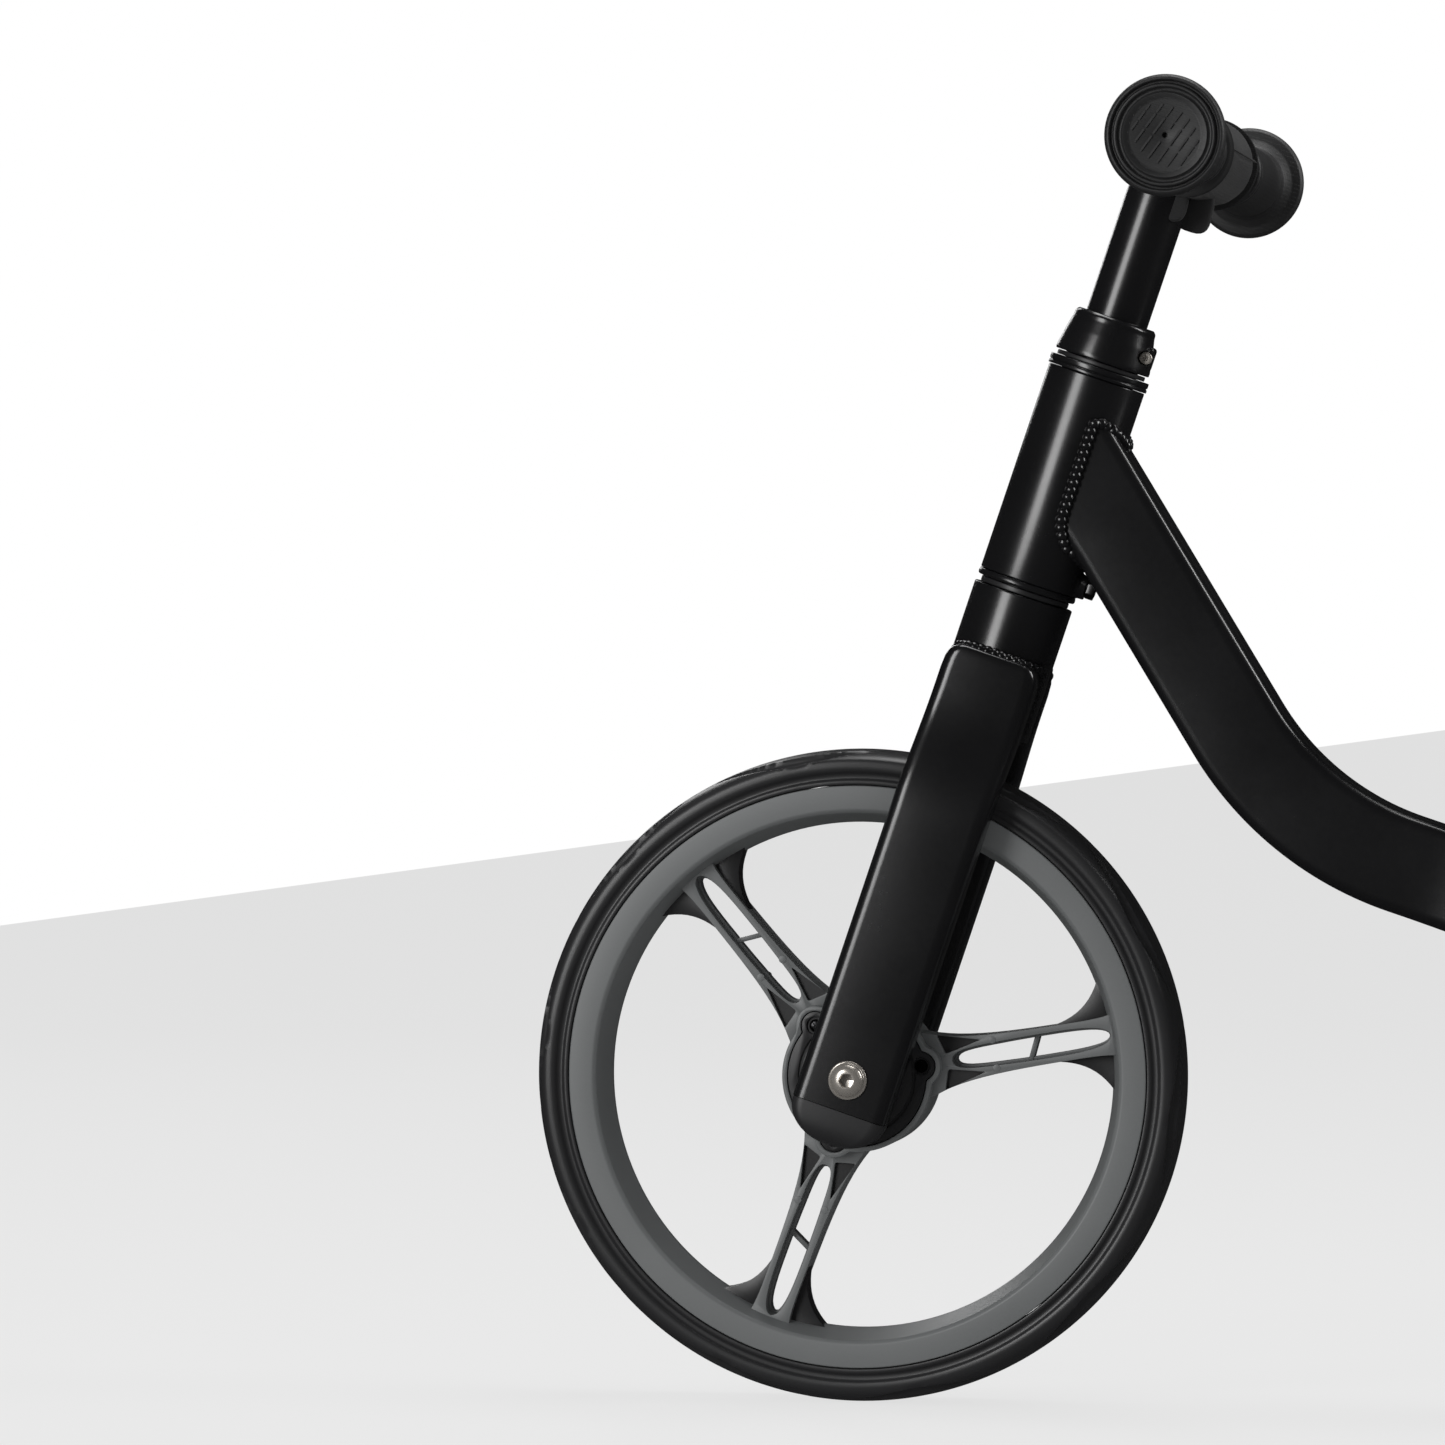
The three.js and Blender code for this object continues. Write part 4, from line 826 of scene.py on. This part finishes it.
grip_rubber = surface("grip_rubber", (0.0075, 0.0075, 0.0078), (0.013, 0.013, 0.0135),
                      0.44, 0.58, 1500, 16, 0.15, 0.08)
tree = grip_rubber.node_tree
place = tree.nodes.new("ShaderNodeTexCoord")
along = tree.nodes.new("ShaderNodeMapping")
along.inputs["Rotation"].default_value = (0, -head_angle, 0)
rows = tree.nodes.new("ShaderNodeTexBrick")
rows.inputs["Scale"].default_value = 1
rows.inputs["Mortar Size"].default_value = 0.00045
rows.inputs["Brick Width"].default_value = 0.0032
rows.inputs["Row Height"].default_value = 0.0019
rows.inputs["Color1"].default_value = (1, 1, 1, 1)
rows.inputs["Color2"].default_value = (0.8, 0.8, 0.8, 1)
rows.inputs["Mortar"].default_value = (0, 0, 0, 1)
second = tree.nodes.new("ShaderNodeBump")
second.inputs["Strength"].default_value = 0.35
second.inputs["Distance"].default_value = 0.35 * MM
tree.links.new(place.outputs["Object"], along.inputs["Vector"])
swap = tree.nodes.new("ShaderNodeSeparateXYZ")
merge = tree.nodes.new("ShaderNodeCombineXYZ")
tree.links.new(along.outputs["Vector"], swap.inputs["Vector"])
tree.links.new(swap.outputs["Z"], merge.inputs["Y"])
tree.links.new(swap.outputs["Y"], merge.inputs["X"])
tree.links.new(merge.outputs["Vector"], rows.inputs["Vector"])
tree.links.new(rows.outputs["Color"], second.inputs["Height"])
tree.links.new(tree.nodes["raised"].outputs["Normal"], second.inputs["Normal"])
tree.links.new(second.outputs["Normal"], tree.nodes["Principled BSDF"].inputs["Normal"])
dressed(mirrored(grip, "right_grip"), grip_rubber, "handlebar", "grip", "grip_right")
grip.name = "left_grip"
dressed(grip, grip_rubber, "handlebar", "grip", "grip_left")


# Bar cover: a foam-lined sleeve of stretch knit wrapped round the crossbar and the top of the
# stem, with serged ends, a sewn seam along it and rounded hook-and-loop tabs under the bar.
def cushioned(piece, cap, voxel=4.0, pressure=4.0):
    """A closed shape as a stuffed cover: remeshed and blown up, no point moved past cap."""
    finished(piece, "REMESH", {"mode": "VOXEL", "voxel_size": voxel * MM})
    start = [v.co.copy() for v in piece.data.vertices]
    only(piece)
    cloth = piece.modifiers.new("cloth", "CLOTH")
    cloth.settings.use_pressure = True
    cloth.settings.uniform_pressure_force = pressure
    cloth.settings.effector_weights.gravity = 0
    cloth.settings.tension_stiffness = 18
    cloth.settings.bending_stiffness = 0.6
    for picture in range(1, 21):
        bpy.context.scene.frame_set(picture)
    bpy.ops.object.modifier_apply(modifier="cloth")
    bpy.context.scene.frame_set(1)
    for vertex, was in zip(piece.data.vertices, start):
        shift = vertex.co - was
        if shift.length > cap * MM:
            vertex.co = was + shift.normalized() * cap * MM
    finished(piece, "SUBSURF", {"levels": 1, "render_levels": 1})
    return smoothed(piece, 180)


bar_middle = steering @ Matrix.Translation((0, 0, bar_height * MM))
along_bar = Matrix.Rotation(math.radians(90), 4, "X")
pad_place = bar_middle @ Matrix.Translation((12 * MM, 0, 0)) @ along_bar
pad_profile = [(0, -58.5), (17.2, -58.5), (19.4, -54), (19.9, -40), (19.1, -14), (19.3, 12),
               (20, 38), (19.4, 54), (17.2, 58.5), (0, 58.5)]
cover_body = cushioned(turned("bar_cover", rounded(pad_profile, 2.5), pad_place, 48), 1.6)
serged = []
for side in (-1, 1):
    ridges = [(14.6, side * 54.5)]
    for k in range(7):
        ridges += [(20.9, side * (54.8 + k)), (20.1, side * (55.3 + k))]
    ridges += [(19.2, side * 61.9), (14.6, side * 61.9)]
    serged.append(turned("serged_end", ridges, pad_place, 96))
seam_line = [Vector((20.5 * math.cos(0.35), 20.5 * math.sin(0.35), y)) * MM for y in range(-54, 55, 2)]
seam = moved(bead("cover_seam", seam_line, 0.5, 2.4), pad_place)
tabs = []
for across, low, y in ((7, -31.5, -9), (17, -33, 8)):
    lobe = rounded([(across - 9, low), (across + 9, low), (across + 7, -12), (across - 10, -12)], 7.5, 6)
    tab = slab("tab", lobe, y - 2.2, y + 2.2)
    tabs.append(moved(eased_edges(tab, 1.6, 4), bar_middle))
joined(cover_body, *serged, seam, *tabs)

knit = surface("knit", (0.006, 0.006, 0.0063), (0.012, 0.012, 0.0125),
               0.75, 0.9, 700, 18, 0.1, 0.15)
knit.node_tree.nodes["Principled BSDF"].inputs["Sheen Weight"].default_value = 0.03
knit.node_tree.nodes["Principled BSDF"].inputs["Sheen Roughness"].default_value = 0.4
tree = knit.node_tree
place = tree.nodes.new("ShaderNodeTexCoord")
courses, wales = tree.nodes.new("ShaderNodeTexWave"), tree.nodes.new("ShaderNodeTexWave")
courses.bands_direction, wales.bands_direction = "Y", "Z"
for wave in (courses, wales):
    wave.inputs["Scale"].default_value = 330
    wave.inputs["Distortion"].default_value = 0.6
    tree.links.new(place.outputs["Object"], wave.inputs["Vector"])
loops = tree.nodes.new("ShaderNodeMath")
loops.operation = "MULTIPLY"
tree.links.new(courses.outputs["Fac"], loops.inputs[0])
tree.links.new(wales.outputs["Fac"], loops.inputs[1])
weave = tree.nodes.new("ShaderNodeBump")
weave.inputs["Strength"].default_value = 0.5
weave.inputs["Distance"].default_value = 0.2 * MM
tree.links.new(loops.outputs[0], weave.inputs["Height"])
tree.links.new(tree.nodes["raised"].outputs["Normal"], weave.inputs["Normal"])
tree.links.new(weave.outputs["Normal"], tree.nodes["Principled BSDF"].inputs["Normal"])
dressed(cover_body, knit, "handlebar", "bar_pad", "handlebar_pad")


# Frame beams: two flat rounded aluminium tubes side by side from the head tube, bent, then
# splayed past the rear wheel. Rippled beads run round both where they meet the head tube.
fall = math.radians(58.5)
steep = Vector((math.cos(fall), 0, -math.sin(fall)))
beam_start = Vector((98.4, 0, 274))
bend_radius = 140
steep_length = 135.7
bend_centre = beam_start + steep * steep_length + Vector((math.sin(fall), 0, math.cos(fall))) * bend_radius
to_axle = Vector((wheelbase, 0, 0)) - bend_centre
easy_fall = -math.atan2(to_axle.z, to_axle.x) - math.asin(bend_radius / to_axle.length)
easy = Vector((math.cos(easy_fall), 0, -math.sin(easy_fall)))
bend_end = bend_centre - Vector((math.sin(easy_fall), 0, math.cos(easy_fall))) * bend_radius


beside_middle = 10.3
splay = beside_wheel - beside_middle
splay_start, splay_end = 255, 385


def beam_ring(centre, falling):
    """The beam's section at a point of its middle line, put out to its side of the bike."""
    aside = splay * step(centre.x, splay_start, splay_end)
    before = splay * step(centre.x - 1, splay_start, splay_end)
    after = splay * step(centre.x + 1, splay_start, splay_end)
    across = Vector(((before - after) / 2 * 0.95, -1, 0)).normalized()
    upright = Vector((math.sin(falling), 0, math.cos(falling)))
    return flat_ring((centre - Vector((0, beside_middle + aside, 0))) * MM, across, upright)


rearward = Vector((math.cos(head_angle), 0, -math.sin(head_angle)))
coped = []
for point in beam_ring(beam_start, fall):
    behind = point.dot(rearward)
    target = math.sqrt(max(0.0, (22.2 * MM) ** 2 - point.y**2))
    coped.append(point + steep * (target - behind) / steep.dot(rearward))
beam_rings = [coped, beam_ring(beam_start + steep * 34, fall)]
beam_rings += [beam_ring(beam_start + steep * along, fall) for along in (80, 120, steep_length)]
for part in range(1, 29):
    falling = fall - (fall - easy_fall) * part / 28
    on_bend = bend_centre - Vector((math.sin(falling), 0, math.cos(falling))) * bend_radius
    beam_rings.append(beam_ring(on_bend, falling))
reach = (wheelbase - bend_end.x) / easy.x - leg_bottom
for x in list(range(254, 390, 6)) + [420, 480]:
    beam_rings.append(beam_ring(bend_end + easy * ((x - bend_end.x) / easy.x), easy_fall))
beam_rings.append(beam_ring(bend_end + easy * reach, easy_fall))
beam = swept("beam", beam_rings)
neck = [Vector((p.x - (1.6 if abs(p.y) > 15 * MM else -0.6) * MM, p.y * 1.06, p.z)) for p in coped]
turn = max(range(len(neck)), key=lambda k: (neck[k] - neck[k - 1]).length)
loop = neck[turn:] + neck[:turn]
neck_weld = bead("neck_weld", loop + [loop[0]], 2.7, 3.5)
joined(beam, neck_weld)
moved(beam, front_axle)
rear_axle = front_axle @ Matrix.Translation((wheelbase * MM, 0, 0))
turned_back = Matrix.Rotation(easy_fall - math.pi / 2, 4, "Y")
beam_end = rear_axle @ Matrix.Translation(-leg_bottom * easy * MM) @ turned_back
cap_in_place = steering @ Matrix.Translation((0, 0, leg_bottom * MM))
beam_cap = copied(leg_cap, "left_beam_cap")
moved(beam_cap, beam_end @ cap_in_place.inverted())
dressed(mirrored(beam, "right_beam"), satin_black, "frame", "frame_paint", "frame_beam_right")
dressed(mirrored(beam_cap, "right_beam_cap"), black_nylon, "frame", "black_plastic", "beam_end_cap_right")
beam.name = "left_beam"
dressed(beam, satin_black, "frame", "frame_paint", "frame_beam_left")
dressed(beam_cap, black_nylon, "frame", "black_plastic", "beam_end_cap_left")


# Seat tube, clamp and post: a short tube welded upright between the beams, a split collar with
# one screw, and a painted post that slides in it.
seat_lean = math.radians(20)
seat_setback = 335
seat_root = Vector((seat_setback, 0, (wheelbase - seat_setback) * math.tan(easy_fall))) * MM
seat_axis = front_axle @ Matrix.Translation(seat_root) @ Matrix.Rotation(seat_lean, 4, "Y")
seat_corners = [(14.0, -24), (18, -24), (18, 62), (14.0, 62)]
seat_tube = turned("seat_shell", rounded(seat_corners, 0.5), seat_axis, 96)
round_tube = [Vector((18.4 * math.cos(a), 18.4 * math.sin(a), 22.6 - 6.0 * math.cos(a))) * MM
              for a in [math.radians(d) for d in range(-180, 181, 6)]]
seat_weld = bead("seat_weld", round_tube, 1.9)
joined(seat_tube, moved(seat_weld, seat_axis))
dressed(seat_tube, satin_black, "frame", "frame_paint", "seat_tube")
clamp_profile = rounded([(18.4, 46), (22.5, 46), (22.5, 61), (18.4, 61)], 0.8)
seat_clamp, seat_screw = split_clamp("seat_clamp", clamp_profile, 18, 7.2, 53.5, seat_axis)
dressed(seat_clamp, satin_black, "frame", "frame_paint", "seat_collar")
dressed(seat_screw, plated_steel, "frame", "fastener", "seat_clamp_bolt")
post = turned("post", rounded([(11.6, -10), (13.6, -10), (13.6, 120), (11.6, 120)], 0.4), seat_axis, 96)
dressed(post, satin_black, "saddle", "frame_paint", "seat_post")


# Saddle: a moulded nylon shell on the post, and a foam pad under a stretched vinyl cover whose
# edge is piped and sewn, with a stitched panel line along each side of the top.
saddle_height = 127
levelling = Matrix.Rotation(-seat_lean - math.radians(4), 4, "Y")
saddle_place = seat_axis @ Matrix.Translation((0, 0, saddle_height * MM)) @ levelling


def saddle_outline(inset, steps=12):
    """The saddle seen from above, from its nose round to its nose, made smaller by inset."""
    nose, tail = -116 + inset, 96 - inset
    nose_half, tail_half = 26 - inset, 66 - inset
    waist, hip = nose + 0.32 * (tail - nose), nose + 0.8 * (tail - nose)
    corners = [(nose, 0), (nose, 0.8 * nose_half), (nose + 16, nose_half), (waist, nose_half + 2),
               (waist + 36, nose_half + 4), (hip - 34, tail_half), (hip, tail_half),
               (tail - 10, tail_half), (tail, 0.6 * tail_half), (tail, 0)]
    side = [corners[0]]
    for k in (0, 3, 6):
        side += curve_points(*corners[k : k + 4], steps)
    return side + [(x, -y) for x, y in reversed(side[1:-1])]


def saddle_ring(inset, height, dish=0.0):
    ring = []
    for x, y in saddle_outline(inset):
        ring.append(Vector((x, y, height + dish * (y / 66) ** 2)) * MM)
    return ring


shell_rings = [saddle_ring(inset, height)
               for inset, height in ((11, 0.2), (9.4, 0.6), (9, 1.4), (9, 6.4), (9.5, 7))]
shell = moved(swept("saddle_shell", shell_rings), saddle_place)
socket_profile = rounded([(14.0, -33), (17.4, -33), (19, -30), (19, -8), (22, 2), (14.0, 2)], 1.2)
socket_place = saddle_place @ levelling.inverted()
joined(shell, turned("saddle_socket", socket_profile, socket_place, 64))
dressed(shell, black_nylon, "saddle", "black_plastic", "saddle_base")

pad_rings = [saddle_ring(*ring) for ring in (
    (9, 8.4), (5, 9.4), (3.2, 13), (2.6, 20), (3.6, 27, -1), (7, 32.6, -2), (13, 36.2, -3), (22, 38.4, -4)
)]
cushion = cushioned(swept("saddle_cushion", pad_rings), 1.8, 4.5, 3.0)
bpy.context.view_layer.update()


def laid_on(piece, line):
    """The line's points, each brought to the nearest point of the piece's face."""
    return [piece.closest_point_on_mesh(point)[1].copy() for point in line]


edge_line = laid_on(cushion, [Vector((x, y, 11.2)) * MM for x, y in saddle_outline(3.4)])
piping = bead("piping", edge_line + [edge_line[0]], 1.2, 40)
top_edge = [Vector((x, y, 33.9 - 2 * (y / 66) ** 2)) * MM for x, y in saddle_outline(9.0)]
top_line = laid_on(cushion, top_edge)
stitches = bead("stitches", top_line + [top_line[0]], 0.55, 3.2)
joined(cushion, piping, stitches)
moved(cushion, saddle_place)
vinyl = surface("vinyl", (0.011, 0.011, 0.0115), (0.019, 0.019, 0.02),
                0.42, 0.58, 1100, 10, 0.4, 0.25)
dressed(cushion, vinyl, "saddle", "saddle_cover", "saddle_pad")
